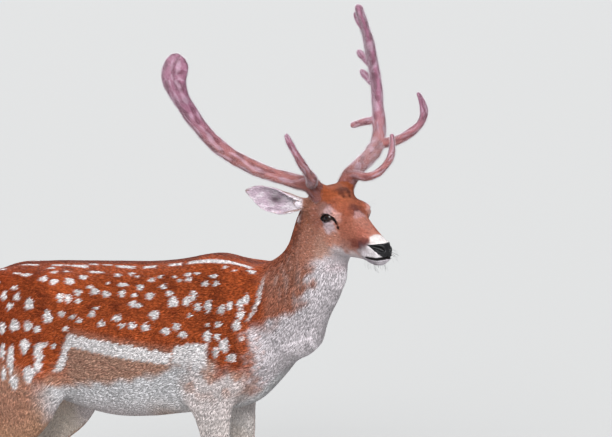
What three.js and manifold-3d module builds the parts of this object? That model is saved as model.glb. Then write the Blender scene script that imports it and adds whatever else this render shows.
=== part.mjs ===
// A life-size fallow buck in summer coat with antlers in velvet, standing and looking to its right.
// Millimetres, +X towards the nose end of the trunk, +Y to the animal's left, +Z up.
//
// The flesh is one smooth field: a barrel-shaped trunk, a neck, a head and four legs, each described by a
// few cross-sections, with the larger muscles melted on. The field is turned into a closed net of facets,
// finer on the head than on the trunk, and thin cuts part it into the named pieces of the animal.
// Antlers, ears, hooves and tail are lofts along curves.

import * as THREE from 'three';
import { mergeVertices } from 'three/addons/utils/BufferGeometryUtils.js';
import { ConvexGeometry } from 'three/addons/geometries/ConvexGeometry.js';
import Module from 'manifold-3d';

const wasm = await Module();
wasm.setup();

// ---------------------------------------------------------------- driving dimensions
const WITHERS = 920;             // height of the back over the shoulders
const GAP = 0.4;                 // clear cut between neighbouring pieces
const HEAD_PLACE = [560, -50, 1030];   // midpoint between the eyes
const HEAD_TURN = -31;           // degrees, towards the animal's right
const HEAD_NOD = 7.7;            // degrees, nose down
const HEAD_TILT = 2.7;           // degrees, left side up
const EYE_RADIUS = 16;
const EYE_PLACE = [-4, 52, 4];   // left eye's centre in the head's own axes; the right eye mirrors it
const EAR_LENGTH = 156;
const EAR_WIDTH = 66;
const HOOF_LENGTH = 64;
const TAIL_LENGTH = 210;

const COLOURS = {
  chestnut: '#a5532a', neck: '#9b6a4c', white: '#e6e0d8', face: '#a9745a', velvet: '#9a6a68',
  horn: '#2b2522', nose: '#151316', eye: '#0c0808', leg: '#b98e6a',
};

// ---------------------------------------------------------------- small mathematics
const degrees = THREE.MathUtils.degToRad;
const lerp = THREE.MathUtils.lerp;
const clamp = THREE.MathUtils.clamp;

// The smaller of two distances, with the crease between them filled over a width k.
function melt(a, b, k) {
  const h = Math.max(k - Math.abs(a - b), 0) / k;
  return Math.min(a, b) - h * h * k / 4;
}

// A smooth line through values at increasing stations; every column is blended by the same weights.
function smoothRows(rows, x) {
  const last = rows.length - 1;
  if (x <= rows[0][0]) return rows[0];
  if (x >= rows[last][0]) return rows[last];
  let i = 0;
  while (rows[i + 1][0] < x) i++;
  const [before, from, to, after] = [rows[Math.max(i - 1, 0)], rows[i], rows[i + 1], rows[Math.min(i + 2, last)]];
  const span = to[0] - from[0];
  const t = (x - from[0]) / span;
  return from.map((value, c) => {
    const slopeFrom = (to[c] - before[c]) / (to[0] - before[0]) * span;
    const slopeTo = (after[c] - value) / (after[0] - from[0]) * span;
    return value * (2 * t ** 3 - 3 * t * t + 1) + slopeFrom * (t ** 3 - 2 * t * t + t)
      + to[c] * (3 * t * t - 2 * t ** 3) + slopeTo * (t ** 3 - t * t);
  });
}

// ---------------------------------------------------------------- kinds of flesh
// A barrel lies along x. Each section has its top, widest level, bottom and half width.
function barrel(sections, square) {
  const first = sections[0][0];
  const end = sections[sections.length - 1][0];
  return (x, y, z) => {
    const [, top, middle, bottom, half] = smoothRows(sections, x);
    const tall = z > middle ? top - middle : middle - bottom;
    const reach = (Math.abs(y / half) ** square + Math.abs((z - middle) / tall) ** square) ** (1 / square);
    return Math.max((reach - 1) * Math.min(tall, half), first - x, x - end);
  };
}

// Rows [x, y, z, ...sizes] with a smooth line of finer rows between them.
function finer(sections, cuts) {
  const rows = sections.map((row, i) => [i, ...row]);
  const fine = [];
  for (let i = 0; i <= (rows.length - 1) * cuts; i++) fine.push(smoothRows(rows, i / cuts).slice(1));
  return fine;
}

// A limb follows sections [x, y, z, half depth, half width], as a chain of short cones.
// It is as much thinner across than fore and aft as half width is than half depth.
const FAR = 60;                  // beyond this a limb only tells how far its box is
function limb(sections, cuts) {
  const fine = finer(sections, cuts);
  const low = [0, 1, 2].map((c) => Math.min(...fine.map((row) => row[c] - row[3])));
  const high = [0, 1, 2].map((c) => Math.max(...fine.map((row) => row[c] + row[3])));
  return (x, y, z) => {
    const away = Math.max(low[0] - x, x - high[0], low[1] - y, y - high[1], low[2] - z, z - high[2]);
    if (away > FAR) return away;
    let nearest = Infinity;
    for (let i = 0; i < fine.length - 1; i++) {
      const [ax, ay, az, ad, aw] = fine[i];
      const [bx, by, bz, bd, bw] = fine[i + 1];
      const [dx, dy, dz] = [bx - ax, by - ay, bz - az];
      const t = clamp(((x - ax) * dx + (y - ay) * dy + (z - az) * dz) / (dx * dx + dy * dy + dz * dz), 0, 1);
      const depth = ad + (bd - ad) * t;
      const squash = depth / (aw + (bw - aw) * t);
      const [ex, ey, ez] = [x - ax - dx * t, (y - ay - dy * t) * squash, z - az - dz * t];
      nearest = Math.min(nearest, Math.sqrt(ex * ex + ey * ey + ez * ez) - depth);
    }
    return nearest;
  };
}

// An egg-shaped muscle or bone, leaning by some degrees about the y axis.
function egg([cx, cy, cz], [rx, ry, rz], lean = 0) {
  const [c, s] = [Math.cos(degrees(lean)), Math.sin(degrees(lean))];
  const least = Math.min(rx, ry, rz);
  return (x, y, z) => {
    const [dx, dz] = [x - cx, z - cz];
    const [u, w] = [dx * c - dz * s, dx * s + dz * c];
    return (Math.hypot(u / rx, (y - cy) / ry, w / rz) - 1) * least;
  };
}

// The same flesh on both sides.
const both = (flesh) => (x, y, z) => flesh(x, Math.abs(y), z);

// Flesh melted together, each piece with the width of its crease.
function meltAll(first, ...others) {
  return (x, y, z) => others.reduce((sum, [flesh, k]) => melt(sum, flesh(x, y, z), k), first(x, y, z));
}

// ---------------------------------------------------------------- trunk
const TRUNK_SECTIONS = [ // x, top, widest level, bottom, half width
  [-530, 766, 742, 712, 10], [-518, 794, 738, 668, 44], [-490, 815, 730, 640, 78], [-440, 835, 722, 600, 104],
  [-360, 860, 710, 552, 120], [-280, 871, 695, 508, 124], [-190, 876, 674, 481, 131], [-90, 881, 655, 465, 139],
  [10, 886, 650, 470, 142], [90, 897, 660, 482, 134], [160, 914, 672, 492, 121], [205, WITHERS, 680, 500, 112],
  [255, 911, 690, 506, 106], [310, 890, 695, 532, 102], [360, 863, 700, 584, 96], [410, 845, 705, 650, 86],
  [436, 822, 714, 676, 66], [456, 790, 722, 700, 36],
];
const trunkFlesh = meltAll(
  barrel(TRUNK_SECTIONS, 2.15),
  [both(egg([262, 66, 756], [72, 42, 132], 22)), 40],    // shoulder blade
  [both(egg([312, 70, 692], [60, 46, 60], 0)), 34],      // point of the shoulder
  [both(egg([190, 82, 640], [70, 42, 95], 18)), 34],     // triceps
  [both(egg([-385, 74, 690], [116, 54, 150], -6)), 46],  // thigh
  [both(egg([-228, 82, 808], [44, 32, 30], 0)), 44],     // hip bone
  [both(egg([-486, 40, 768], [34, 26, 34], 0)), 30],     // pin bone
  [egg([-505, 0, 792], [42, 26, 24], 20), 26],           // root of the tail
  [egg([410, 0, 712], [62, 66, 56], 40), 36],            // breast
  [both(egg([-262, 96, 596], [58, 40, 74], 24)), 30],    // stifle
);

// ---------------------------------------------------------------- legs
const FORE = [ // x, y, z, half depth, half width, from shoulder to coronet
  [318, 80, 690, 52, 40], [250, 84, 622, 60, 42], [204, 86, 556, 57, 41], [206, 86, 508, 51, 36],
  [213, 84, 440, 39, 30], [216, 82, 372, 28, 24], [218, 81, 336, 28, 25], [218, 80, 306, 27, 25],
  [212, 80, 270, 20, 18.5], [209, 80, 200, 17, 16], [208, 80, 145, 18, 17], [209, 80, 112, 23, 22],
  [222, 80, 76, 18, 20], [234, 80, 48, 21, 23], [240, 80, 30, 20, 22],
];
const HIND = [ // from hip to coronet
  [-372, 76, 712, 112, 54], [-352, 88, 650, 128, 55], [-326, 97, 578, 116, 52], [-310, 101, 510, 84, 45],
  [-328, 99, 452, 60, 37], [-364, 95, 402, 41, 28], [-394, 92, 362, 32, 26], [-404, 90, 326, 30, 26],
  [-405, 90, 284, 23, 21], [-401, 90, 205, 18, 17], [-398, 90, 150, 19, 18], [-395, 90, 116, 24, 22],
  [-379, 90, 78, 18.5, 20], [-366, 90, 48, 21, 23], [-360, 90, 30, 20, 22],
];
const HOCK_POINT = [[-374, 92, 404, 18, 15], [-426, 90, 382, 18, 15], [-422, 90, 344, 20, 17]];
const TENDON = [[-408, 95, 556, 42, 30], [-394, 95, 492, 32, 20], [-410, 92, 434, 20, 14], [-424, 91, 386, 15, 13]];
const ELBOW_POINT = [[190, 86, 590, 34, 24], [152, 86, 572, 25, 20]];
const FAR_FORE = [34, 560];      // how far the left foot stands ahead of the right, and where the swing begins
const FAR_HIND = [122, 700];

// How far a leg is carried forward at each height: nothing at the top and the full stride at the ground.
const swing = (side, [stride, top]) => (z) => (side > 0 ? stride * clamp((top - z) / top, 0, 1) : 0);
function leg(side, far, ...limbs) {
  const forward = swing(side, far);
  return (x, y, z) => {
    if (side * y < -40) return 400;
    const u = x - forward(z);
    return limbs.slice(1).reduce((sum, flesh) => melt(sum, flesh(u, side * y, z), 16), limbs[0](u, side * y, z));
  };
}
const fore = (side) => leg(side, FAR_FORE, limb(FORE, 3), limb(ELBOW_POINT, 2));
const hind = (side) => leg(side, FAR_HIND, limb(HIND, 3), limb(HOCK_POINT, 2), limb(TENDON, 2));
const LEGS = { fore_right: fore(-1), fore_left: fore(1), hind_right: hind(-1), hind_left: hind(1) };

// ---------------------------------------------------------------- neck
const NECK = [ // x, y, z, half depth, half width
  [322, 0, 752, 92, 92], [384, 0, 788, 96, 92], [420, 0, 828, 98, 89], [443, -1, 864, 93, 83],
  [459, -3, 906, 83, 72], [468, -3, 955, 75, 64], [476, 0, 1005, 67, 57], [486, 4, 1040, 58, 52],
];
const LARYNX = egg([510, -8, 872], [34, 26, 36], 20);

// ---------------------------------------------------------------- head, in its own axes
const HEAD_SECTIONS = [ // x, top, widest level, bottom, half width
  [-130, 0, -30, -60, 14], [-122, 22, -26, -84, 34], [-100, 42, -20, -103, 53], [-66, 55, -16, -111, 59],
  [-32, 58, -14, -108, 60], [0, 50, -13, -103, 57], [30, 32, -18, -98, 47], [60, 11, -26, -93, 38.5],
  [92, -6, -35, -90, 33.5], [120, -19, -43, -88, 31], [141, -29, -50, -87, 28], [155, -37, -56, -82, 23],
  [164, -48, -60, -72, 10],
];
const PEDICLE = [[-46, 20, 40, 26, 26], [-70, 52, 64, 21, 21]];
const EAR_ROOT = [[-66, 34, 8, 28, 28], [-104, 74, 22, 17, 17]];
const headFlesh = meltAll(
  barrel(HEAD_SECTIONS, 2.25),
  [both(egg([-6, 51, 10], [34, 17, 24], 0)), 14],         // rim of the eye socket
  [both(egg([-42, 43, -56], [48, 16, 40], 0)), 16],       // cheek
  [both(limb(PEDICLE, 1)), 18],
  [both(limb(EAR_ROOT, 1)), 16],
  [egg([-40, 0, 58], [30, 28, 14], 0), 14],               // crown tuft
  [egg([142, 0, -45], [21, 23, 17], 0), 10],              // nose
  [both(egg([124, 13, -65], [32, 15, 13], 0)), 10],       // upper lip
  [egg([125, 0, -82], [27, 18, 11], 0), 8],               // chin
);
const headFrame = new THREE.Matrix4()
  .makeTranslation(...HEAD_PLACE)
  .multiply(new THREE.Matrix4().makeRotationZ(degrees(HEAD_TURN)))
  .multiply(new THREE.Matrix4().makeRotationY(degrees(HEAD_NOD)))
  .multiply(new THREE.Matrix4().makeRotationX(degrees(HEAD_TILT)));
const toHead = headFrame.clone().invert();
function inHead(flesh) {
  const e = toHead.elements;
  return (x, y, z) => flesh(
    e[0] * x + e[4] * y + e[8] * z + e[12],
    e[1] * x + e[5] * y + e[9] * z + e[13],
    e[2] * x + e[6] * y + e[10] * z + e[14]);
}
// The head is far from the trunk and legs, so its flesh is only worked out near it.
const headInBody = inHead((u, v, w) => {
  const away = Math.max(-140 - u, u - 180, Math.abs(v) - 110, -120 - w, w - 100);
  return away > FAR ? away : headFlesh(u, v, w);
});

// ---------------------------------------------------------------- the whole body
const neckFlesh = limb(NECK, 3);
const bodyParts = [
  [neckFlesh, 58], [LARYNX, 22], [headInBody, 34],
  ...Object.values(LEGS).map((flesh) => [flesh, 38]),
];
const body = meltAll(trunkFlesh, ...bodyParts);

// ---------------------------------------------------------------- from field to facets
// A net of quads round the field's zero, one corner for each cell that the surface passes through.
// Facets that lie within `ease` of flat are then joined into larger ones.
function netOf(field, low, high, cell, ease) {
  const box = (x, y, z) => Math.max(low[0] - x, x - high[0], low[1] - y, y - high[1], low[2] - z, z - high[2]);
  const f = (x, y, z) => Math.max(field(x, y, z), box(x, y, z));
  const n = low.map((v, i) => Math.ceil((high[i] - v) / cell[i]) + 3);
  const start = low.map((v, i) => v - cell[i] * 1.01);
  const at = (i, axis) => start[axis] + i * cell[axis];
  const index = (i, j, k) => (i * n[1] + j) * n[2] + k;
  const values = new Float64Array(n[0] * n[1] * n[2]);
  for (let i = 0; i < n[0]; i++) for (let j = 0; j < n[1]; j++) for (let k = 0; k < n[2]; k++)
    values[index(i, j, k)] = f(at(i, 0), at(j, 1), at(k, 2));

  const corner = new Map();
  const points = [];
  const edges = [];
  for (let a = 0; a < 8; a++) for (const bit of [1, 2, 4]) if (!(a & bit)) edges.push([a, a | bit]);
  const offset = (c) => [(c >> 2) & 1, (c >> 1) & 1, c & 1];
  for (let i = 0; i < n[0] - 1; i++) for (let j = 0; j < n[1] - 1; j++) for (let k = 0; k < n[2] - 1; k++) {
    const sum = [0, 0, 0];
    let crossings = 0;
    for (const [a, b] of edges) {
      const [oa, ob] = [offset(a), offset(b)];
      const [va, vb] = [oa, ob].map((o) => values[index(i + o[0], j + o[1], k + o[2])]);
      if ((va < 0) === (vb < 0)) continue;
      const t = va / (va - vb);
      [i, j, k].forEach((base, axis) => { sum[axis] += base + lerp(oa[axis], ob[axis], t); });
      crossings++;
    }
    if (!crossings) continue;
    corner.set(index(i, j, k), points.length);
    points.push(settle(f, sum.map((s, axis) => at(s / crossings, axis)), Math.min(...cell)));
  }

  const triangles = [];
  const step = [[1, 0, 0], [0, 1, 0], [0, 0, 1]];
  for (let i = 1; i < n[0] - 1; i++) for (let j = 1; j < n[1] - 1; j++) for (let k = 1; k < n[2] - 1; k++) {
    const inside = values[index(i, j, k)] < 0;
    for (let axis = 0; axis < 3; axis++) {
      const s = step[axis];
      if (inside === (values[index(i + s[0], j + s[1], k + s[2])] < 0)) continue;
      const [u, v] = [step[(axis + 1) % 3], step[(axis + 2) % 3]];
      const quad = [[0, 0], [1, 0], [1, 1], [0, 1]].map(([p, q]) =>
        corner.get(index(i - u[0] * p - v[0] * q, j - u[1] * p - v[1] * q, k - u[2] * p - v[2] * q)));
      if (!inside) quad.reverse();
      const d = (p, q) => Math.hypot(...points[quad[p]].map((value, c) => value - points[quad[q]][c]));
      const order = d(0, 2) < d(1, 3) ? [0, 1, 2, 0, 2, 3] : [1, 2, 3, 1, 3, 0];
      triangles.push(...order.map((o) => quad[o]));
    }
  }
  return solid(points.flat(), triangles).simplify(ease);
}

// Moves a point onto the field's zero, along the field's slope.
function settle(f, point, reach) {
  const [p, h] = [[...point], 0.5];
  for (let round = 0; round < 4; round++) {
    const value = f(...p);
    const slope = [0, 1, 2].map((axis) => {
      const q = [...p];
      q[axis] += h;
      return (f(...q) - value) / h;
    });
    const steep = slope.reduce((sum, g) => sum + g * g, 0) + 1e-9;
    const move = slope.map((g) => -value * g / steep);
    const length = Math.hypot(...move);
    const scale = Math.min(1, reach * 0.5 / (length + 1e-9));
    move.forEach((m, axis) => { p[axis] += m * scale; });
  }
  return p;
}

function solid(positions, triangles) {
  return new wasm.Manifold(new wasm.Mesh({
    numProp: 3, vertProperties: new Float32Array(positions), triVerts: new Uint32Array(triangles),
  }));
}

// ---------------------------------------------------------------- lofts
// Rings of points round stations [x, y, z, half width, half thickness]; the width lies along `broad`.
function ringsAlong(stations, broad, sides, grow = 0) {
  const middle = stations.map(([x, y, z]) => new THREE.Vector3(x, y, z));
  return stations.map(([, , , wide, thick], i) => {
    const along = middle[Math.min(i + 1, middle.length - 1)].clone().sub(middle[Math.max(i - 1, 0)]).normalize();
    const across = broad.clone().addScaledVector(along, -broad.dot(along)).normalize();
    const up = along.clone().cross(across);
    return Array.from({ length: sides }, (_, k) => {
      const angle = 2 * Math.PI * k / sides;
      return middle[i].clone()
        .addScaledVector(across, Math.cos(angle) * (wide + grow))
        .addScaledVector(up, Math.sin(angle) * (thick + grow));
    });
  });
}
const loft = (stations, broad, sides, grow) => skinOf(ringsAlong(stations, broad, sides, grow));

// Closes a row of rings of points into a solid, with a fan over each end.
function skinOf(rings) {
  const sides = rings[0].length;
  const points = rings.flat();
  const triangles = [];
  const at = (i, k) => i * sides + (k + sides) % sides;
  for (let i = 0; i < rings.length - 1; i++) for (let k = 0; k < sides; k++)
    triangles.push(at(i, k), at(i, k + 1), at(i + 1, k + 1), at(i, k), at(i + 1, k + 1), at(i + 1, k));
  for (const [i, turn] of [[0, 1], [rings.length - 1, -1]]) {
    const centre = points.length;
    points.push(rings[i].reduce((sum, p) => sum.add(p), new THREE.Vector3()).divideScalar(sides));
    const [here, next] = turn > 0 ? [1, 0] : [0, 1];
    for (let k = 0; k < sides; k++) triangles.push(centre, at(i, k + here), at(i, k + next));
  }
  return solid(points.flatMap((p) => p.toArray()), triangles);
}

// ---------------------------------------------------------------- cutters
function asSolid(geometry) {
  const bare = new THREE.BufferGeometry().setAttribute('position', geometry.getAttribute('position'));
  if (geometry.index) bare.setIndex(geometry.index);
  const merged = mergeVertices(bare, 1e-3);
  return solid(merged.attributes.position.array, merged.index.array);
}

// A block between two corners, in the axes of a frame where one is given.
function block(low, high, frame) {
  const size = high.map((v, i) => v - low[i]);
  const box = new THREE.BoxGeometry(...size);
  box.translate(...low.map((v, i) => v + size[i] / 2));
  if (frame) box.applyMatrix4(frame);
  return asSolid(box);
}

// A prism from an outline in side view, reaching from `inner` outwards on one side of the body.
const INNER = 42;
function sidePrism(outline, side, grow) {
  const centre = [0, 1].map((c) => outline.reduce((sum, p) => sum + p[c] / outline.length, 0));
  const swollen = outline.map(([x, z]) => {
    const [dx, dz] = [x - centre[0], z - centre[1]];
    const by = 1 + 1.6 * grow / Math.hypot(dx, dz);
    return new THREE.Vector2(centre[0] + dx * by, centre[1] + dz * by);
  });
  const prism = new THREE.ExtrudeGeometry(new THREE.Shape(swollen), { depth: 200, bevelEnabled: false });
  prism.rotateX(Math.PI / 2);                     // the outline stands upright, its depth towards -y
  prism.translate(0, side > 0 ? INNER - grow + 200 : grow - INNER, 0);
  return asSolid(prism);
}

// A frame at a point, whose x axis points along `along` and whose y axis lies near `near`.
function frameAt(point, along, near) {
  const x = along.clone().normalize();
  const z = x.clone().cross(near).normalize();
  return new THREE.Matrix4().makeBasis(x, z.clone().cross(x), z).setPosition(...point);
}

// ---------------------------------------------------------------- where the pieces part
const BACK_OF_HEAD = -100;       // head axes: the neck begins behind this,
const UNDER_JAW = -113;          // and below this
const neckCutter = (grow) => block([-400, -220, -400], [BACK_OF_HEAD + grow, 220, 220], headFrame)
  .add(block([BACK_OF_HEAD - 20, -220, -400], [70, 220, UNDER_JAW + grow], headFrame));
const NECK_BASE = frameAt([414, 0, 798], new THREE.Vector3(0.822, 0, 0.569), new THREE.Vector3(0, 1, 0));
const aheadOfNeckBase = (gap) => block([gap, -400, -400], [900, 400, 400], NECK_BASE);

const SHOULDER = [ // side view of the upper foreleg
  [140, 505], [132, 560], [140, 640], [168, 740], [214, 846], [272, 852], [330, 780], [368, 700], [352, 640],
  [300, 590], [290, 505],
];
const THIGH = [ // side view of the thigh
  [-560, 470], [-560, 700], [-480, 740], [-420, 800], [-300, 812], [-214, 760], [-178, 650], [-168, 560], [-168, 470],
];
const KNEE = 318;                // height of the cut below the knee and below the hock

const LEG_PLANS = {
  fore: { outline: SHOULDER, split: 505, far: FAR_FORE, foot: [244, 80] },
  hind: { outline: THIGH, split: 470, far: FAR_HIND, foot: [-356, 90] },
};

// The plane on top of the claws, higher in front than behind.
const CORONET = { height: 34, slope: 0.42 };
function coronetFrame(foot) {
  const along = new THREE.Vector3(-CORONET.slope, 0, 1);
  return frameAt([foot[0] - 2, foot[1], CORONET.height], along, new THREE.Vector3(0, 1, 0));
}

// ---------------------------------------------------------------- legs, feet
function footOf(name) {
  const [kind, side] = name.split('_');
  const { far, foot } = LEG_PLANS[kind];
  const sign = side === 'left' ? 1 : -1;
  return [foot[0] + swing(sign, far)(35), foot[1] * sign];
}

// Half a cloven hoof: a flat sole, a wall leaning in to the coronet, a flat side towards its twin.
const SOLE = [[-26, 2], [-30, 9], [-25, 19], [-6, 24], [14, 21], [28, 13], [35, 5], [31, 1], [10, 0.6], [-10, 0.6]];
const TOP = [[-20, 2], [-24, 9], [-21, 17], [-6, 20.5], [6, 18], [12, 11], [14, 5], [12, 1], [4, 0.6], [-10, 0.6]];
function claw(foot, outward) {
  const stretch = HOOF_LENGTH / 65;
  const rise = (u) => CORONET.height - GAP + (u + 2) * CORONET.slope;
  const points = [];
  SOLE.forEach(([u, v], i) => {
    const [tu, tv] = TOP[i];
    points.push([u, v, 0], [lerp(u, tu, 0.42) + 1, lerp(v, tv, 0.3) + 0.4, rise(tu) * 0.42], [tu, tv, rise(tu)]);
  });
  return asSolid(new ConvexGeometry(points.map(([u, v, w]) =>
    new THREE.Vector3(foot[0] + u * stretch, foot[1] + v * outward, w))));
}

// A dewclaw: a small blunt horn cone behind the fetlock.
function dewclaw(foot, outward, ankle, grow) {
  const rows = [[6, 0, 3, 7, 6], [-3, 1, -6, 8, 6.5], [-9, 2, -17, 4, 3.5]];
  return loft(rows.map(([x, y, z, ...r]) => [ankle + x, foot[1] + outward * (11 + y), 104 + z, ...r]),
    new THREE.Vector3(0, 1, 0), 6, grow);
}

function legPieces(name) {
  const [kind, word] = name.split('_');
  const side = word === 'left' ? 1 : -1;
  const { outline, split, far } = LEG_PLANS[kind];
  const forward = swing(side, far);
  const flesh = LEGS[name];
  const shape = outline.map(([x, z]) => [x + forward(z), z]);
  const xs = shape.map((p) => p[0]);
  const zs = shape.map((p) => p[1]);
  const reach = (inner, outer) => (side > 0 ? [inner, outer] : [-outer, -inner]);
  const net = (field, x, y, z, cell, ease) => netOf(field, [x[0], y[0], z[0]], [x[1], y[1], z[1]], cell, ease);

  const upperNet = net(body, [Math.min(...xs) - 30, Math.max(...xs) + 30], reach(INNER - 18, 190),
    [split - 40, Math.max(...zs) + 40], [34, 28, 36], 3);
  const upper = upperNet.intersect(sidePrism(shape, side, 0));
  const foot = footOf(name);
  const [rear, front] = kind === 'fore' ? [120, 320] : [-480, -100];
  const middleNet = net(flesh, [rear, front], reach(20, 170), [KNEE - 30, split + 30], [20, 17, 32], 1.8);
  const middle = middleNet.intersect(block([-900, -400, KNEE + GAP], [900, 400, split - GAP]));
  const lowerNet = net(flesh, [Math.min(rear, foot[0] - 140), foot[0] + 80], reach(30, 140),
    [8, KNEE + 30], [12, 12, 36], 1.8);
  let lower = lowerNet.intersect(block([-900, -400, 0], [900, 400, KNEE]))
    .intersect(block([0, -200, -200], [500, 200, 200], coronetFrame(foot)));

  const ankle = foot[0] - 52 + (kind === 'hind' && side > 0 ? -10 : 0);
  const pieces = {};
  for (const [where, outward] of [['inner', -side], ['outer', side]]) {
    pieces[`dewclaw_${name}_${where}`] = dewclaw(foot, outward, ankle, 0);
    lower = lower.subtract(dewclaw(foot, outward, ankle, 0.6));
    pieces[`hoof_${name}_${where}`] = claw(foot, outward);
  }
  return { upper, middle, lower, ...pieces };
}

// ---------------------------------------------------------------- antlers, in head axes
// Each row: x, y outwards, z, half width, half thickness. Palms are broad fore and aft.
const RIGHT_BEAM = [
  [-68, 55, 66, 25, 24], [-76, 62, 73, 22, 21], [-98, 80, 77, 20, 19], [-125, 98, 82, 20, 18], [-190, 160, 106, 20, 18],
  [-250, 229, 157, 20, 18], [-285, 275, 218, 21, 18],
];
const RIGHT_PALM = [
  [-300, 301, 260, 23, 18], [-310, 321, 300, 29, 18], [-316, 327, 336, 36, 18],
  [-316, 319, 364, 35, 16], [-313, 311, 382, 24, 10], [-312, 308, 388, 9, 4],
];
const RIGHT_BROW = [
  [-70, 62, 76, 12, 12], [-42, 86, 92, 13, 13], [-14, 110, 112, 13, 12], [0, 149, 150, 11, 10], [0, 174, 183, 9, 9],
  [-10, 187, 211, 8, 7.5], [-20, 192, 232, 5, 5], [-22, 193, 238, 2, 2],
];
const LEFT_BEAM = [
  [-68, 53, 70, 25, 24], [-76, 68, 79, 22, 21], [-100, 112, 92, 20, 19], [-130, 174, 106, 21, 19], [-165, 229, 124, 23, 18],
  [-190, 255, 150, 24, 17], [-215, 270, 187, 23, 16],
];
const LEFT_PALM = [
  [-236, 281, 229, 26, 14], [-252, 286, 274, 30, 13], [-266, 283, 319, 33, 13], [-276, 276, 369, 33, 12],
  [-282, 262, 414, 29, 11], [-283, 248, 446, 21, 10], [-281, 239, 466, 11, 8], [-280, 237, 471, 4, 3],
];
const LEFT_BROW = [
  [-72, 60, 84, 12, 12], [-38, 62, 92, 13, 12], [-8, 66, 96, 12, 11], [14, 79, 107, 11, 10], [25, 98, 129, 10, 9],
  [25, 114, 150, 9, 8], [14, 127, 177, 7.5, 7], [2, 134, 197, 5, 5], [0, 135, 202, 2, 2],
];
const LEFT_TREZ = [
  [-166, 226, 128, 12, 12], [-142, 246, 132, 13, 13], [-118, 258, 142, 13, 12], [-92, 279, 166, 12, 11],
  [-76, 296, 192, 11.5, 10.5], [-70, 301, 222, 11, 10], [-76, 296, 252, 9, 8.5], [-84, 291, 271, 5, 5], [-86, 290, 275, 2, 2],
];
const LEFT_REAR = [
  [-203, 262, 176, 9, 9], [-230, 255, 170, 10, 9], [-250, 246, 162, 9, 8], [-270, 236, 152, 8.5, 8], [-280, 232, 149, 4, 4],
];
const LEFT_POINTS = [ // small points on the rear edge of the left palm
  [[-264, 285, 262, 10, 9], [-298, 289, 273, 9, 8], [-318, 291, 282, 5, 4]],
  [[-272, 281, 312, 10, 9], [-310, 286, 324, 9, 8], [-330, 288, 332, 5, 4]],
  [[-276, 256, 410, 9, 9], [-296, 251, 430, 8, 7], [-306, 247, 446, 4, 3]],
];
const inPlace = (rows, side) => rows.map(([x, y, z, ...size]) =>
  [...new THREE.Vector3(x, y * side, z).applyMatrix4(headFrame).toArray(), ...size]);
const foreAndAft = (side) => new THREE.Vector3(0.9, -0.44 * side, 0).transformDirection(headFrame);
const horn = (rows, side, sides, grow) => loft(inPlace(rows, side), foreAndAft(side), sides, grow);

// A beam and the palm that follows it, parted by the gap where they meet.
function beamAndPalm(beam, palm, side) {
  const rings = ringsAlong(inPlace([...beam, ...palm], side), foreAndAft(side), 10);
  const parting = rings[beam.length - 1];
  const mean = (ring) => ring.reduce((sum, p) => sum.add(p), new THREE.Vector3()).divideScalar(ring.length);
  const onward = mean(rings[beam.length]).sub(mean(rings[beam.length - 2])).setLength(GAP);
  const start = parting.map((p) => p.clone().add(onward));
  return [skinOf(rings.slice(0, beam.length)), skinOf([start, ...rings.slice(beam.length)])];
}

function antlerPieces() {
  const [rightBeam, rightPalm] = beamAndPalm(RIGHT_BEAM, RIGHT_PALM, -1);
  const [leftBeam, bareLeftPalm] = beamAndPalm(LEFT_BEAM, LEFT_PALM, 1);
  const leftPalm = LEFT_POINTS.reduce((sum, point) => sum.add(horn(point, 1, 5)), bareLeftPalm);
  const clearOf = (rows, beam, side) => horn(rows, side, 7).subtract(horn(beam, side, 10, 0.6));
  return {
    antler_right_beam: rightBeam,
    antler_right_palm: rightPalm,
    antler_right_brow_tine: clearOf(RIGHT_BROW, RIGHT_BEAM, -1),
    antler_left_beam: leftBeam,
    antler_left_palm: leftPalm,
    antler_left_brow_tine: clearOf(LEFT_BROW, LEFT_BEAM, 1),
    antler_left_trez_tine: clearOf(LEFT_TREZ, LEFT_BEAM, 1),
    antler_left_rear_tine: clearOf(LEFT_REAR, LEFT_BEAM, 1),
  };
}

// ---------------------------------------------------------------- ears, in head axes
const EAR_BASE = [-92, 62, 19];
const EAR_AXIS = new THREE.Vector3(-0.64, 0.77, 0.1).normalize();
const EAR_OPENING = new THREE.Vector3(0.77, 0.64, -0.15);
const EAR_ROWS = [ // share of the length, radius of the cup, half the arc it covers in degrees, thickness, bend
  [0, 15, 150, 3.2, 0], [0.12, 19, 138, 3, 0], [0.3, 27, 104, 2.6, 1], [0.48, 34, 76, 2.4, 3], [0.66, 38, 57, 2.2, 6],
  [0.8, 38, 40, 2, 11], [0.91, 36, 21, 2, 15], [1, 34, 6, 1.6, 18],
];
function ear(side) {
  const axis = EAR_AXIS.clone();
  const opening = EAR_OPENING.clone().addScaledVector(axis, -EAR_OPENING.dot(axis)).normalize();
  const across = axis.clone().cross(opening);
  const [arc, cups] = [6, EAR_WIDTH / 66];
  const rings = EAR_ROWS.map(([share, radius, half, thick, bend]) => {
    const middle = new THREE.Vector3(...EAR_BASE).addScaledVector(axis, GAP + share * EAR_LENGTH)
      .addScaledVector(opening, radius * cups - 15 - bend);
    const point = (r, k) => {
      const angle = degrees(lerp(-half, half, k / (arc - 1)));
      return middle.clone().addScaledVector(opening, -r * Math.cos(angle)).addScaledVector(across, r * Math.sin(angle));
    };
    const outer = Array.from({ length: arc }, (_, k) => point(radius * cups, k));
    const inner = Array.from({ length: arc }, (_, k) => point(radius * cups - thick, arc - 1 - k));
    return [...outer, ...inner].map((p) => p.setY(p.y * side).applyMatrix4(headFrame));
  });
  return stripSolid(rings, side);
}

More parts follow.
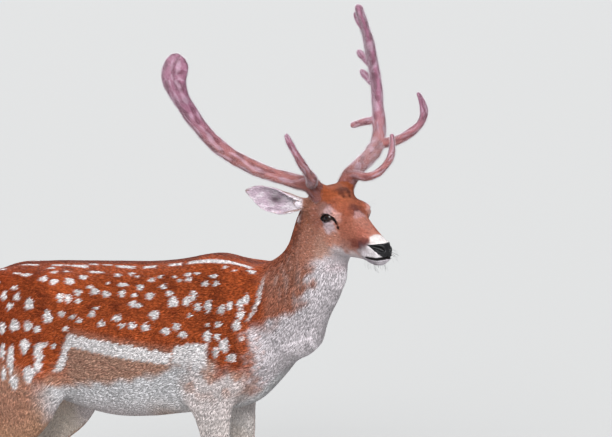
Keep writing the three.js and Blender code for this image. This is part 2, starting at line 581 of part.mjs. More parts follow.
// Closes rings that are thin strips, outer run first and inner run back, into a solid.
function stripSolid(rings, side) {
  const sides = rings[0].length;
  const triangles = [];
  const quad = (a, b, c, d) => triangles.push(a, b, c, a, c, d);
  for (let i = 0; i < rings.length - 1; i++) for (let k = 0; k < sides; k++) {
    const next = (k + 1) % sides;
    quad(i * sides + k, (i + 1) * sides + k, (i + 1) * sides + next, i * sides + next);
  }
  const end = (rings.length - 1) * sides;
  for (let k = 0; k < sides / 2 - 1; k++) {
    quad(k, k + 1, sides - 2 - k, sides - 1 - k);
    quad(end + k, end + sides - 1 - k, end + sides - 2 - k, end + k + 1);
  }
  if (side < 0) for (let i = 0; i < triangles.length; i += 3)
    [triangles[i + 1], triangles[i + 2]] = [triangles[i + 2], triangles[i + 1]];
  return solid(rings.flat().flatMap((p) => p.toArray()), triangles);
}

// The block that squares off an ear's root where the ear begins.
function earCutter(side) {
  const base = new THREE.Vector3(EAR_BASE[0], EAR_BASE[1] * side, EAR_BASE[2]).applyMatrix4(headFrame);
  const axis = EAR_AXIS.clone().setY(EAR_AXIS.y * side).transformDirection(headFrame);
  const frame = frameAt(base.toArray(), axis, new THREE.Vector3(0, 0, 1));
  return block([0, -40, -40], [60, 40, 40], frame);
}

// The block that squares off a pedicle under its antler.
function antlerCutter(rows, side) {
  const [from, to] = inPlace(rows.slice(0, 2), side);
  const along = new THREE.Vector3(...to.slice(0, 3)).sub(new THREE.Vector3(...from.slice(0, 3)));
  return block([-GAP, -34, -34], [70, 34, 34], frameAt(from.slice(0, 3), along, new THREE.Vector3(0, 0, 1)));
}

// ---------------------------------------------------------------- eyes, nose, tail
function ball(radius, centre, stretch = [1, 1, 1]) {
  const sphere = new THREE.SphereGeometry(radius, 11, 7);
  sphere.scale(...stretch);
  sphere.translate(...centre);
  sphere.applyMatrix4(headFrame);
  return asSolid(sphere);
}
const eyeCentre = (side) => [EYE_PLACE[0], EYE_PLACE[1] * side, EYE_PLACE[2]];
const eye = (side, grow = 0) => ball(EYE_RADIUS + grow, eyeCentre(side));
const eyeOpening = (side) => ball(1, [EYE_PLACE[0] + 2, (EYE_PLACE[1] + 17) * side, EYE_PLACE[2]], [15, 11, 8]);

const nosePad = (grow) => block([-40, -40, -13 - grow], [12, 40, 40],
  frameAt([157 - grow, 0, -46], new THREE.Vector3(1, 0, 0.35), new THREE.Vector3(0, 1, 0)).premultiply(headFrame));

const TAIL = [ // x, z, half width, half thickness; its length is set by TAIL_LENGTH
  [-543, 796, 15, 11], [-552, 778, 20, 13], [-558, 740, 25, 13], [-560, 690, 27, 12], [-560, 640, 24, 10],
  [-558, 606, 15, 7], [-557, 592, 5, 3],
];
const TAIL_ROOT = frameAt([-543, 0, 796], new THREE.Vector3(-0.447, 0, -0.894), new THREE.Vector3(0, 1, 0));
const tail = () => loft(TAIL.map(([x, z, wide, thick]) =>
  [x, 0, 796 - (796 - z) * TAIL_LENGTH / 204, wide, thick]), new THREE.Vector3(0, 1, 0), 8);

// ---------------------------------------------------------------- head, neck and trunk
function headPieces() {
  const low = [-150, -110, -150];
  const high = [185, 110, 110];
  // The net is made square to the head's own axes, then turned into place.
  const corners = (u, v, w) => new THREE.Vector3(u, v, w).applyMatrix4(headFrame);
  const field = (u, v, w) => { const p = corners(u, v, w); return body(p.x, p.y, p.z); };
  const whole = netOf(field, low, high, [15, 12.5, 12.5], 1.9).transform(headFrame.elements);
  let rest = whole.subtract(neckCutter(GAP));
  for (const side of [-1, 1])
    rest = rest.subtract(eye(side, GAP)).subtract(eyeOpening(side)).subtract(earCutter(side))
      .subtract(antlerCutter(side < 0 ? RIGHT_BEAM : LEFT_BEAM, side))
      .subtract(horn(side < 0 ? RIGHT_BROW : LEFT_BROW, side, 7, 0.6));
  return { head: rest.subtract(nosePad(GAP)), nose: whole.intersect(nosePad(0)) };
}

function neckPiece() {
  return netOf(body, [300, -140, 640], [640, 140, 1100], [26, 24, 26], 2.4)
    .intersect(neckCutter(0)).intersect(aheadOfNeckBase(GAP)).subtract(earCutter(-1)).subtract(earCutter(1));
}

function trunkPiece() {
  let trunk = netOf(body, [-560, -170, 430], [520, 170, 940], [50, 31, 33], 4.5).subtract(aheadOfNeckBase(0));
  for (const side of [-1, 1]) {
    for (const { outline, split, far } of Object.values(LEG_PLANS)) {
      const forward = swing(side, far);
      const shape = outline.map(([x, z]) => [x + forward(z), z]);
      trunk = trunk.subtract(sidePrism(shape, side, GAP));
      const xs = outline.map((p) => p[0]);
      const y = side > 0 ? [INNER - GAP, 240] : [-240, GAP - INNER];
      trunk = trunk.subtract(
        block([Math.min(...xs) - 2, y[0], 0], [Math.max(...xs) + forward(split) + 2, y[1], split + 2]));
    }
  }
  return trunk.subtract(block([-GAP, -80, -80], [200, 80, 80], TAIL_ROOT));
}

// ---------------------------------------------------------------- assembly
const deer = new THREE.Group();
function place(name, made, colour, roughness = 0.85) {
  const [largest] = made.decompose().sort((a, b) => b.volume() - a.volume());   // without slivers left by a cut
  const { vertProperties, triVerts, numProp } = largest.simplify(0.06).getMesh();
  const positions = new Float32Array(vertProperties.length / numProp * 3);
  for (let i = 0; i < positions.length / 3; i++)
    positions.set(vertProperties.subarray(i * numProp, i * numProp + 3), i * 3);
  const geometry = new THREE.BufferGeometry();
  geometry.setAttribute('position', new THREE.BufferAttribute(positions, 3));
  geometry.setIndex(new THREE.BufferAttribute(triVerts, 1));
  geometry.computeVertexNormals();
  const mesh = new THREE.Mesh(geometry, new THREE.MeshStandardMaterial({ color: colour, roughness, metalness: 0 }));
  mesh.name = name;
  deer.add(mesh);
}

place('trunk', trunkPiece(), COLOURS.chestnut);
place('neck', neckPiece(), COLOURS.neck);
const { head, nose } = headPieces();
place('head', head, COLOURS.face);
place('nose', nose, COLOURS.nose, 0.45);
for (const [word, side] of [['right', -1], ['left', 1]]) {
  place(`eye_${word}`, eye(side), COLOURS.eye, 0.1);
  place(`ear_${word}`, ear(side), COLOURS.face);
}
place('tail', tail(), COLOURS.white);
const NAMES = { fore: ['shoulder', 'forearm', 'cannon_fore'], hind: ['thigh', 'gaskin', 'cannon_hind'] };
for (const name of Object.keys(LEGS)) {
  const [kind, word] = name.split('_');
  const { upper, middle, lower, ...horny } = legPieces(name);
  place(`${NAMES[kind][0]}_${word}`, upper, COLOURS.chestnut);
  place(`${NAMES[kind][1]}_${word}`, middle, COLOURS.leg);
  place(`${NAMES[kind][2]}_${word}`, lower, COLOURS.leg);
  for (const [piece, made] of Object.entries(horny)) place(piece, made, COLOURS.horn, 0.5);
}
for (const [name, made] of Object.entries(antlerPieces())) place(name, made, COLOURS.velvet, 0.95);

// The origin is under the middle of the whole animal, at the level of its soles.
const bounds = new THREE.Box3().setFromObject(deer, true);
const centre = bounds.getCenter(new THREE.Vector3());
deer.position.set(-centre.x, -centre.y, -bounds.min.z);

export default deer;
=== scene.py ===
# %% [markdown]
# # A fallow buck in velvet, life size
# This file dresses a still, life-size model of a fallow buck: one skin over the whole body, a coat of small
# tufts that follow the lie of the hair, eyes, nose leather, hooves and antlers in velvet.
# The shape underneath is not sculpted by hand. It is one smooth *field*: a function that is negative inside
# the flesh and positive outside. The same sections that shaped the solids are repeated here, so every new
# piece fits them without adjustment.

# %% Tools and frame
import math

import bmesh
import bpy
import numpy as np
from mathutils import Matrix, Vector
from mathutils.bvhtree import BVHTree


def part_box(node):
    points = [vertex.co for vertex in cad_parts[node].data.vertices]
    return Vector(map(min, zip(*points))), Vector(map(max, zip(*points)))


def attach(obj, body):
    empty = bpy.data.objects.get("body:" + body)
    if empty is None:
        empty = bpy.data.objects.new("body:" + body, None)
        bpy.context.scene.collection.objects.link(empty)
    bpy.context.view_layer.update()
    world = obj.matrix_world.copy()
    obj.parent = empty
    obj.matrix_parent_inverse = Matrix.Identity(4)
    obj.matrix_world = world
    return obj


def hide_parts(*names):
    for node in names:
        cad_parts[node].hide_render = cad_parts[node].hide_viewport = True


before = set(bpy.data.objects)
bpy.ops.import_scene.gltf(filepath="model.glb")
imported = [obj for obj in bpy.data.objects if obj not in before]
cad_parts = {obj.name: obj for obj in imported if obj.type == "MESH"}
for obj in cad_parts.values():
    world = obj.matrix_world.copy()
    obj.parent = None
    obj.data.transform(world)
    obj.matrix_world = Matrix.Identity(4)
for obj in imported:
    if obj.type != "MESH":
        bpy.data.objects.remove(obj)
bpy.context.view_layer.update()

MM = 0.001
rng = np.random.default_rng(20)

# %% [markdown]
# ## Flesh as a field
# Muscles have no sharp borders, so they are hard to build from separate meshes. In a field they simply melt
# into one another: `melt` takes the smaller of two distances and fills the crease between them.
# A `barrel` is the rib cage or the skull, told by its top, widest level, bottom and half width. A `limb` is a
# chain of cones, for legs, neck and tail. An `egg` is a single muscle or bone.

# %% Small mathematics of flesh
def melt(a, b, k):
    """The smaller of two distances, with the crease between them filled over a width k."""
    h = np.maximum(k - np.abs(a - b), 0) / k
    return np.minimum(a, b) - h * h * k / 4


def carve(flesh, hole, k):
    """Flesh with a hole taken out, its edge rounded over a width k."""
    return -melt(-flesh, hole, k)


def ramp(x, start, end):
    """0 before start, 1 after end, and a smooth rise between them."""
    t = np.clip((x - start) / (end - start), 0, 1)
    return t * t * (3 - 2 * t)


def smooth_rows(rows, x):
    """A smooth line through rows [station, values...] at the stations x."""
    rows = np.asarray(rows, float)
    at, value = rows[:, 0], rows[:, 1:]
    index = np.arange(len(at))
    after, before = np.minimum(index + 1, len(at) - 1), np.maximum(index - 1, 0)
    slope = (value[after] - value[before]) / (at[after] - at[before])[:, None]
    i = np.clip(np.searchsorted(at, x) - 1, 0, len(at) - 2)
    span = (at[i + 1] - at[i])[..., None]
    t = np.clip((np.asarray(x) - at[i])[..., None] / span, 0, 1)
    return (value[i] * (2 * t**3 - 3 * t * t + 1) + slope[i] * span * (t**3 - 2 * t * t + t)
            + value[i + 1] * (3 * t * t - 2 * t**3) + slope[i + 1] * span * (t**3 - t * t))


def finer(sections, cuts):
    """Sections [x, y, z, sizes...] with a smooth line of finer ones between them."""
    rows = [[i, *row] for i, row in enumerate(sections)]
    return smooth_rows(rows, np.arange((len(sections) - 1) * cuts + 1) / cuts)


# %% Kinds of flesh
FAR = 60.0                       # beyond this a limb only tells how far its box is


def barrel(sections, square):
    rows = np.array(sections, float)

    def flesh(p):
        x, y, z = p.T
        top, middle, bottom, half = smooth_rows(rows, x).T
        tall = np.where(z > middle, top - middle, middle - bottom)
        reach = (np.abs(y / half) ** square + np.abs((z - middle) / tall) ** square) ** (1 / square)
        return np.maximum.reduce([(reach - 1) * np.minimum(tall, half), rows[0, 0] - x, x - rows[-1, 0]])
    return flesh


def limb(sections, cuts):
    fine = finer(sections, cuts)
    low, high = (fine[:, :3] - fine[:, 3:4]).min(0), (fine[:, :3] + fine[:, 3:4]).max(0)

    def flesh(p):
        away = np.maximum(low - p, p - high).max(1)
        near = away <= FAR
        q = p[near]
        nearest = np.full(len(q), np.inf)
        for a, b in zip(fine[:-1], fine[1:]):
            run = b[:3] - a[:3]
            off = q - a[:3]
            t = np.clip(off @ run / (run @ run), 0, 1)
            depth = a[3] + (b[3] - a[3]) * t
            squash = depth / (a[4] + (b[4] - a[4]) * t)
            off -= t[:, None] * run
            off[:, 1] *= squash
            nearest = np.minimum(nearest, np.sqrt((off * off).sum(1)) - depth)
        away[near] = nearest
        return away
    return flesh


def egg(centre, radii, lean=0):
    c, s = math.cos(math.radians(lean)), math.sin(math.radians(lean))

    def flesh(p):
        dx, dy, dz = (p - centre).T
        u, w = dx * c - dz * s, dx * s + dz * c
        return (np.sqrt((u / radii[0]) ** 2 + (dy / radii[1]) ** 2 + (w / radii[2]) ** 2) - 1) * min(radii)
    return flesh


def both(flesh):
    """The same flesh on both sides."""
    return lambda p: flesh(np.column_stack([p[:, 0], np.abs(p[:, 1]), p[:, 2]]))


def melt_all(first, *others):
    """Flesh melted together, each piece with the width of its crease."""
    def flesh(p):
        total = first(p)
        for piece, k in others:
            total = melt(total, piece(p), k)
        return total
    return flesh


# %% [markdown]
# ## Trunk, legs, neck and head
# These are the animal's measures in millimetres, before it is set on its origin: x towards the chest, y to
# its own left, z up. Tables keep a shape like this easy to read: one row is one slice through the animal.

# %% Trunk
TRUNK_SECTIONS = [  # x, top, widest level, bottom, half width
    [-530, 766, 742, 712, 10], [-518, 794, 738, 668, 44], [-490, 815, 730, 640, 78], [-440, 835, 722, 600, 104],
    [-360, 860, 710, 552, 120], [-280, 871, 695, 508, 124], [-190, 876, 674, 481, 131], [-90, 881, 655, 465, 139],
    [10, 886, 650, 470, 142], [90, 897, 660, 482, 134], [160, 914, 672, 492, 121], [205, 920, 680, 500, 112],
    [255, 911, 690, 506, 106], [310, 890, 695, 532, 102], [360, 863, 700, 584, 96], [410, 845, 705, 650, 86],
    [436, 822, 714, 676, 66], [456, 790, 722, 700, 36],
]
trunk_flesh = melt_all(
    barrel(TRUNK_SECTIONS, 2.15),
    [both(egg([262, 66, 756], [72, 42, 132], 22)), 40],    # shoulder blade
    [both(egg([312, 70, 692], [60, 46, 60])), 34],         # point of the shoulder
    [both(egg([190, 82, 640], [70, 42, 95], 18)), 34],     # triceps
    [both(egg([-385, 74, 690], [116, 54, 150], -6)), 46],  # thigh
    [both(egg([-228, 78, 800], [48, 32, 34])), 60],        # hip bone
    [both(egg([-486, 40, 768], [34, 26, 34])), 30],        # pin bone
    [egg([-505, 0, 792], [42, 26, 24], 20), 26],           # root of the tail
    [egg([410, 0, 712], [62, 66, 56], 40), 36],            # breast
    [both(egg([-262, 96, 596], [58, 40, 74], 24)), 30],    # stifle
)

# %% Legs
FORE = [  # x, y, z, half depth, half width, from shoulder to coronet
    [318, 80, 690, 52, 40], [250, 84, 622, 60, 42], [204, 86, 556, 57, 41], [206, 86, 508, 51, 36],
    [213, 84, 440, 39, 30], [216, 82, 372, 28, 24], [218, 81, 336, 28, 25], [218, 80, 306, 27, 25],
    [212, 80, 270, 20, 18.5], [209, 80, 200, 17, 16], [208, 80, 145, 18, 17], [209, 80, 112, 23, 22],
    [222, 80, 76, 18, 20], [234, 80, 48, 21, 23], [240, 80, 30, 20, 22],
]
HIND = [  # from hip to coronet
    [-372, 76, 712, 112, 54], [-352, 88, 650, 128, 55], [-326, 97, 578, 116, 52], [-310, 101, 510, 84, 45],
    [-328, 99, 452, 60, 37], [-364, 95, 402, 41, 28], [-394, 92, 362, 32, 26], [-404, 90, 326, 30, 26],
    [-405, 90, 284, 23, 21], [-401, 90, 205, 18, 17], [-398, 90, 150, 19, 18], [-395, 90, 116, 24, 22],
    [-379, 90, 78, 18.5, 20], [-366, 90, 48, 21, 23], [-360, 90, 30, 20, 22],
]
HOCK_POINT = [[-374, 92, 404, 18, 15], [-426, 90, 382, 18, 15], [-422, 90, 344, 20, 17]]
TENDON = [[-408, 95, 556, 42, 30], [-394, 95, 492, 32, 20], [-410, 92, 434, 20, 14], [-424, 91, 386, 15, 13]]
ELBOW_POINT = [[190, 86, 590, 34, 24], [152, 86, 572, 25, 20]]
FAR_FORE = (34, 560)             # how far the left foot stands ahead of the right, and where the swing begins
FAR_HIND = (122, 700)
FORE_FOOT, HIND_FOOT = (244, 80), (-356, 90)


def swing(side, far, z):
    """How far a leg is carried forward at each height."""
    stride, top = far
    return stride * np.clip((top - z) / top, 0, 1) if side > 0 else 0 * z


def leg(side, far, *limbs):
    def flesh(p):
        out = np.full(len(p), 400.0)
        near = side * p[:, 1] >= -40
        q = p[near]
        u = np.column_stack([q[:, 0] - swing(side, far, q[:, 2]), side * q[:, 1], q[:, 2]])
        total = limbs[0](u)
        for more in limbs[1:]:
            total = melt(total, more(u), 16)
        out[near] = total
        return out
    return flesh


legs_flesh = [leg(side, far, *limbs) for far, limbs in (
    (FAR_FORE, [limb(FORE, 3), limb(ELBOW_POINT, 2)]),
    (FAR_HIND, [limb(HIND, 3), limb(HOCK_POINT, 2), limb(TENDON, 2)])) for side in (-1, 1)]

# %% Neck and tail
NECK = [  # x, y, z, half depth, half width
    [322, 0, 752, 92, 92], [384, 0, 788, 96, 92], [420, 0, 828, 98, 89], [443, -1, 864, 93, 83],
    [459, -3, 906, 83, 72], [468, -3, 955, 75, 64], [476, 0, 1005, 67, 57], [486, 4, 1040, 58, 52],
]
LARYNX = egg([510, -8, 872], [34, 26, 36], 20)
TAIL = [  # the fleshy core of the tail, inside its long hair
    [-520, 0, 800, 17, 17], [-543, 0, 786, 13, 15], [-554, 0, 750, 8, 13], [-557, 0, 700, 7, 12],
    [-557, 0, 650, 6, 10], [-556, 0, 612, 5, 7],
]

# %% Head
HEAD_SECTIONS = [  # x, top, widest level, bottom, half width, in the head's own axes
    [-130, 0, -30, -60, 14], [-122, 22, -26, -84, 34], [-100, 42, -20, -103, 53], [-66, 55, -16, -111, 59],
    [-32, 58, -14, -108, 60], [0, 50, -13, -103, 57], [30, 32, -18, -98, 47], [60, 11, -26, -93, 38.5],
    [92, -6, -35, -90, 33.5], [120, -19, -43, -88, 31], [141, -29, -50, -87, 28], [155, -37, -56, -82, 23],
    [164, -48, -60, -72, 10],
]
PEDICLE = [[-46, 20, 40, 26, 26], [-70, 52, 64, 21, 21]]
EAR_ROOT = [[-66, 34, 8, 28, 28], [-104, 74, 22, 17, 17]]
head_flesh = melt_all(
    barrel(HEAD_SECTIONS, 2.25),
    [both(egg([-6, 51, 10], [34, 17, 24])), 14],           # rim of the eye socket
    [both(egg([-42, 43, -56], [48, 16, 40])), 16],         # cheek
    [both(limb(PEDICLE, 1)), 18],
    [both(limb(EAR_ROOT, 1)), 16],
    [egg([-40, 0, 58], [30, 28, 14]), 14],                 # crown tuft
    [egg([142, 0, -45], [21, 23, 17]), 10],                # nose
    [both(egg([124, 13, -65], [32, 15, 13])), 10],         # upper lip
    [egg([125, 0, -82], [27, 18, 11]), 8],                 # chin
)
HEAD_PLACE = np.array([560.0, -50.0, 1030.0])              # midpoint between the eyes
EYE_PLACE, EYE_RADIUS = np.array([-4.0, 52.0, 4.0]), 16.0


def turn(axis, degrees):
    """The matrix that turns by some degrees about an axis of the frame."""
    c, s = math.cos(math.radians(degrees)), math.sin(math.radians(degrees))
    a, b = (axis + 1) % 3, (axis + 2) % 3
    m = np.eye(3)
    m[a, a], m[a, b], m[b, a], m[b, b] = c, -s, s, c
    return m


HEAD_TURN = turn(2, -31.0) @ turn(1, 7.7) @ turn(0, 2.7)   # to the right, nose down, left side up


def from_head(h):
    return np.atleast_2d(h) @ HEAD_TURN.T + HEAD_PLACE


def to_head(p):
    return (p - HEAD_PLACE) @ HEAD_TURN


def mirrored(v, side):
    """A point of the left side, or its twin on the right."""
    return np.array([v[0], v[1] * side, v[2]], float)


def head_in_body(p):
    h = to_head(p)
    u, v, w = h.T
    away = np.maximum.reduce([-140 - u, u - 180, np.abs(v) - 110, -120 - w, w - 100])
    near = away <= FAR
    away[near] = head_flesh(h[near])
    return away


# %% The whole body
body = melt_all(trunk_flesh, [limb(NECK, 8), 58], [LARYNX, 22], [head_in_body, 34],
                *[[flesh, 38] for flesh in legs_flesh])
tail_flesh = limb(TAIL, 3)

# The animal's drawing is moved as a whole onto the part's origin: an eye's solid says how far.
SHIFT = (np.add(*map(np.array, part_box("eye_right"))) / 2 - from_head(mirrored(EYE_PLACE, -1))[0] * MM)
SHIFT[2] = 0.0                   # the soles stand at zero in both
print("drawing moved by", np.round(SHIFT * 1000, 2).tolist(), "mm")


def placed(p):
    """Millimetres of the drawing to metres of the part."""
    return np.asarray(p) * MM + SHIFT


def drawn(p):
    """Metres of the part to millimetres of the drawing."""
    return (np.asarray(p) - SHIFT) / MM
# %% [markdown]
# ## The skin and its fine forms
# The skin is the same field, drawn in a little by the depth of the coat: most on trunk and neck, least on the
# face and lower legs. Lids, nostrils, mouth, the scent gland in front of the eye and the folds round them are
# added to the field in the head's own axes, so both sides come from one description. Holes are carved, folds
# are shallow waves across a line.

# %% Depth of the coat
TRUNK_COAT, LEG_COAT, FACE_COAT = 4.0, 1.6, 1.0


def share_of_face(h):
    """1 on the face and the top of the head, 0 on the neck."""
    return ramp(h[:, 0], -120, -60) * (1 - ramp(np.linalg.norm(h, axis=1), 185, 230)) * ramp(h[:, 2], -150, -105)


def coat_depth(p, h):
    low = 1 - ramp(p[:, 2], 330, 560)
    depth = TRUNK_COAT + (LEG_COAT - TRUNK_COAT) * low
    return depth + (FACE_COAT - depth) * share_of_face(h)


# %% Measures of the face, in head axes, for the left side
def unit(v):
    return np.asarray(v, float) / np.linalg.norm(v)


EYE_OUT = unit([0.10, 0.99, 0.06])                         # where the eye looks
SLIT = unit(np.array([0.95, -0.10, 0.27]) - np.dot([0.95, -0.10, 0.27], EYE_OUT) * EYE_OUT)
SLIT_UP = np.cross(SLIT, EYE_OUT)
SLIT_HALF, UPPER_LID, LOWER_LID = 24.0, 9.8, 7.8
LID = 1.6                                                  # how thick a lid is
TEAR_DUCT = [[17, 65, 9, 2.4, 2.4], [21, 61.5, 6, 2.2, 2.2], [24, 57.5, 0, 1.9, 1.9], [26, 53.5, -9, 1.5, 1.5],
             [26, 50, -17, 0.9, 0.9]]
NOSTRIL = [[160, 9.5, -47, 3.6, 3.6], [156, 14.5, -43, 6, 6], [148, 20, -41, 4.6, 4.6], [138, 26, -40, 2.6, 2.6],
           [130, 29.5, -39.6, 1.8, 1.8], [122, 31.5, -39.2, 0.8, 0.8]]
MOUTH = [[108, 31, -77, 1.2, 1.2], [120, 30.5, -74, 2.0, 2.0], [140, 28, -71, 2.2, 2.2], [157.5, 20, -67.8, 2.2, 2.2],
         [162, 12, -66.2, 2.2, 2.2], [164.2, 5, -65.4, 2.2, 2.2], [164.6, 0, -65.2, 2.2, 2.2]]
tear_duct, nostril, mouth = limb(TEAR_DUCT, 3), limb(NOSTRIL, 3), limb(MOUTH, 3)


def eye_axes(m):
    """Along the slit, up across it, and out of the head, from the eye's centre."""
    q = m - EYE_PLACE
    return q @ SLIT, q @ SLIT_UP, q @ EYE_OUT


def almond(s, t, grow=0.0):
    """Roughly the distance from the edge of the eye opening, negative inside it."""
    high = np.where(t > 0, UPPER_LID, LOWER_LID) + grow
    return (np.abs(t) / high + np.abs(s / (SLIT_HALF + 1.3 * grow)) ** 1.9 - 1) * high * 0.8


def fold(distance, width):
    return np.exp(-(distance / width) ** 2)


# %% Fine forms of the head
def face_forms(m, flesh):
    """Lids, nostrils, mouth and folds, worked into the flesh of the head."""
    u, v, w = m.T
    s, t, d = eye_axes(m)
    facing = ramp(d, 0, 10)
    ball = np.sqrt(s * s + t * t + d * d) - (EYE_RADIUS + LID)
    flesh = melt(flesh, ball, 9)
    rim = almond(s, t)
    flesh = flesh - 0.9 * fold(rim - 1.8, 1.5) * facing                         # swollen rim of the lids
    flesh = flesh + 1.5 * fold(almond(s, t, 5.5), 1.3) * facing * ramp(t, -2, 4)  # crease over the upper lid
    flesh = flesh + 0.8 * fold(almond(s, t, 5.0), 1.4) * facing * ramp(-t, 0, 4)  # crease under the lower lid
    flesh = flesh - 1.8 * fold(almond(s, t, 12.0), 3.5) * facing * ramp(t, 4, 12)  # brow
    flesh = flesh + 2.2 * np.exp(-((u - 44) / 16) ** 2 - ((w + 4) / 13) ** 2) * ramp(v, 20, 34)  # before the eye
    flesh = carve(flesh, np.maximum(rim, 5 - d), 1.6)
    flesh = carve(flesh, tear_duct(m), 1.8)
    flesh = flesh - 1.4 * fold(nostril(m) - 4.2, 2.4) * ramp(w, -44, -38)          # wing of the nostril
    flesh = carve(flesh, nostril(m), 3.0)
    flesh = flesh - 1.1 * fold(mouth(m) - 4.0, 2.5)                               # lips
    flesh = carve(flesh, mouth(m), 2.6)
    flesh = flesh + 1.3 * fold(v, 1.3) * ramp(u, 150, 160) * ramp(-w, 40, 50)        # groove from nose to lip
    flesh = flesh + 1.6 * np.exp(-((u - 60) / 26) ** 2 - ((w + 50) / 9) ** 2) * ramp(v, 15, 30)  # under the cheek
    return flesh


def skin_field(p):
    h = to_head(p)
    flesh = melt(body(p) + coat_depth(p, h), tail_flesh(p), 16)
    near = (np.abs(h - [45, 0, -15]) < [145, 90, 95]).all(1)
    m = h[near]
    m[:, 1] = np.abs(m[:, 1])
    flesh[near] = face_forms(m, flesh[near])
    return np.maximum(flesh, above_hooves(p))


# The skin ends just inside the top edge of each hoof.
CORONET, CORONET_SLOPE = 34.0, 0.42
FEET = [(fore_or_hind[0] + float(swing(side, far, np.array(35.0))), fore_or_hind[1] * side)
        for fore_or_hind, far in ((FORE_FOOT, FAR_FORE), (HIND_FOOT, FAR_HIND)) for side in (-1, 1)]


def above_hooves(p):
    out = np.full(len(p), -400.0)
    for x, y in FEET:
        near = (np.abs(p[:, 0] - x) < 90) & (np.abs(p[:, 1] - y) < 45) & (p[:, 2] < 120)
        out[near] = CORONET - 3 + (p[near, 0] - x + 2) * CORONET_SLOPE - p[near, 2]
    return out


# %% [markdown]
# ## From field to mesh
# A net of quads is laid over the field's zero: one corner in each small cell that the surface passes through.
# Only cells near the surface are looked at, first on a coarse grid and then on a fine one. The net is then
# refined where forms are small, by cutting every edge that is too long for its place, and each corner is
# moved back onto the surface along the field's slope.

# %% Net over the surface
def settle(field, p, rounds=3, reach=2.0):
    """Moves points onto the field's zero, along its slope."""
    p = p.copy()
    for _ in range(rounds):
        value = field(p)
        slope = np.column_stack([field(p + step) - value for step in np.eye(3) * 0.4]) / 0.4
        move = -value[:, None] * slope / ((slope * slope).sum(1)[:, None] + 1e-6)
        length = np.linalg.norm(move, axis=1)[:, None]
        p += move * np.minimum(1, reach / (length + 1e-9))
    return p


def net_of(field, low, high, cell, coarse):
    """Corners and quads of a closed net round the field's zero."""
    low, high = np.array(low, float), np.array(high, float)
    blocks = np.ceil((high - low) / (cell * coarse)).astype(int)
    axes = [low[c] + np.arange(blocks[c] + 1) * cell * coarse for c in range(3)]
    rough = field(np.stack(np.meshgrid(*axes, indexing="ij"), -1).reshape(-1, 3)).reshape(blocks + 1)
    least = np.full(blocks, np.inf)
    for corner in np.ndindex(2, 2, 2):
        part = rough[tuple(slice(c, c + n) for c, n in zip(corner, blocks))]
        least = np.minimum(least, np.abs(part))
    live = least < cell * coarse * 1.6
    size = blocks * coarse + 1
    wanted = np.zeros(size, bool)
    for corner in np.ndindex(coarse + 1, coarse + 1, coarse + 1):
        wanted[tuple(slice(c, c + n * coarse, coarse) for c, n in zip(corner, blocks))] |= live
    value = rough[np.ix_(*[np.minimum((np.arange(n) + coarse // 2) // coarse, blocks[c])
                           for c, n in enumerate(size)])]
    at = np.argwhere(wanted)
    value[wanted] = field(low + at * cell)

    inside = value < 0
    count = sum(inside[tuple(slice(c, c + n - 1) for c, n in zip(corner, size))].astype(np.int8)
                for corner in np.ndindex(2, 2, 2))
    cells = np.argwhere((count > 0) & (count < 8))
    corners = np.array(list(np.ndindex(2, 2, 2)))
    v = np.stack([value[tuple((cells + c).T)] for c in corners], 1)
    total, crossings = np.zeros((len(cells), 3)), np.zeros(len(cells))
    for a in range(8):
        for b in range(a + 1, 8):
            if np.abs(corners[a] - corners[b]).sum() != 1:
                continue
            cross = (v[:, a] < 0) != (v[:, b] < 0)
            t = np.where(cross, v[:, a] / np.where(cross, v[:, a] - v[:, b], 1), 0)
            total += cross[:, None] * (corners[a] + (corners[b] - corners[a]) * t[:, None])
            crossings += cross
    points = low + (cells + total / crossings[:, None]) * cell
    number = np.full(size, -1)
    number[tuple(cells.T)] = np.arange(len(cells))

    quads = []
    for axis in range(3):
        step = np.eye(3, dtype=int)
        edges = np.argwhere(np.diff(inside, axis=axis))
        edges = edges[(np.delete(edges, axis, 1) > 0).all(1)]
        going_out = inside[tuple(edges.T)]
        u, w = step[(axis + 1) % 3], step[(axis + 2) % 3]
        ring = np.stack([number[tuple((edges - u * a - w * b).T)] for a, b in ((0, 0), (1, 0), (1, 1), (0, 1))], 1)
        quads.append(np.where(going_out[:, None], ring, ring[:, ::-1]))
    return points, np.concatenate(quads)


def cut_quads(points, quads):
    """Each quad as two triangles, across its shorter diagonal."""
    first = np.linalg.norm(points[quads[:, 0]] - points[quads[:, 2]], axis=1)
    second = np.linalg.norm(points[quads[:, 1]] - points[quads[:, 3]], axis=1)
    short = (first < second)[:, None, None]
    return np.where(short, quads[:, [[0, 1, 2], [0, 2, 3]]], quads[:, [[1, 2, 3], [1, 3, 0]]]).reshape(-1, 3)


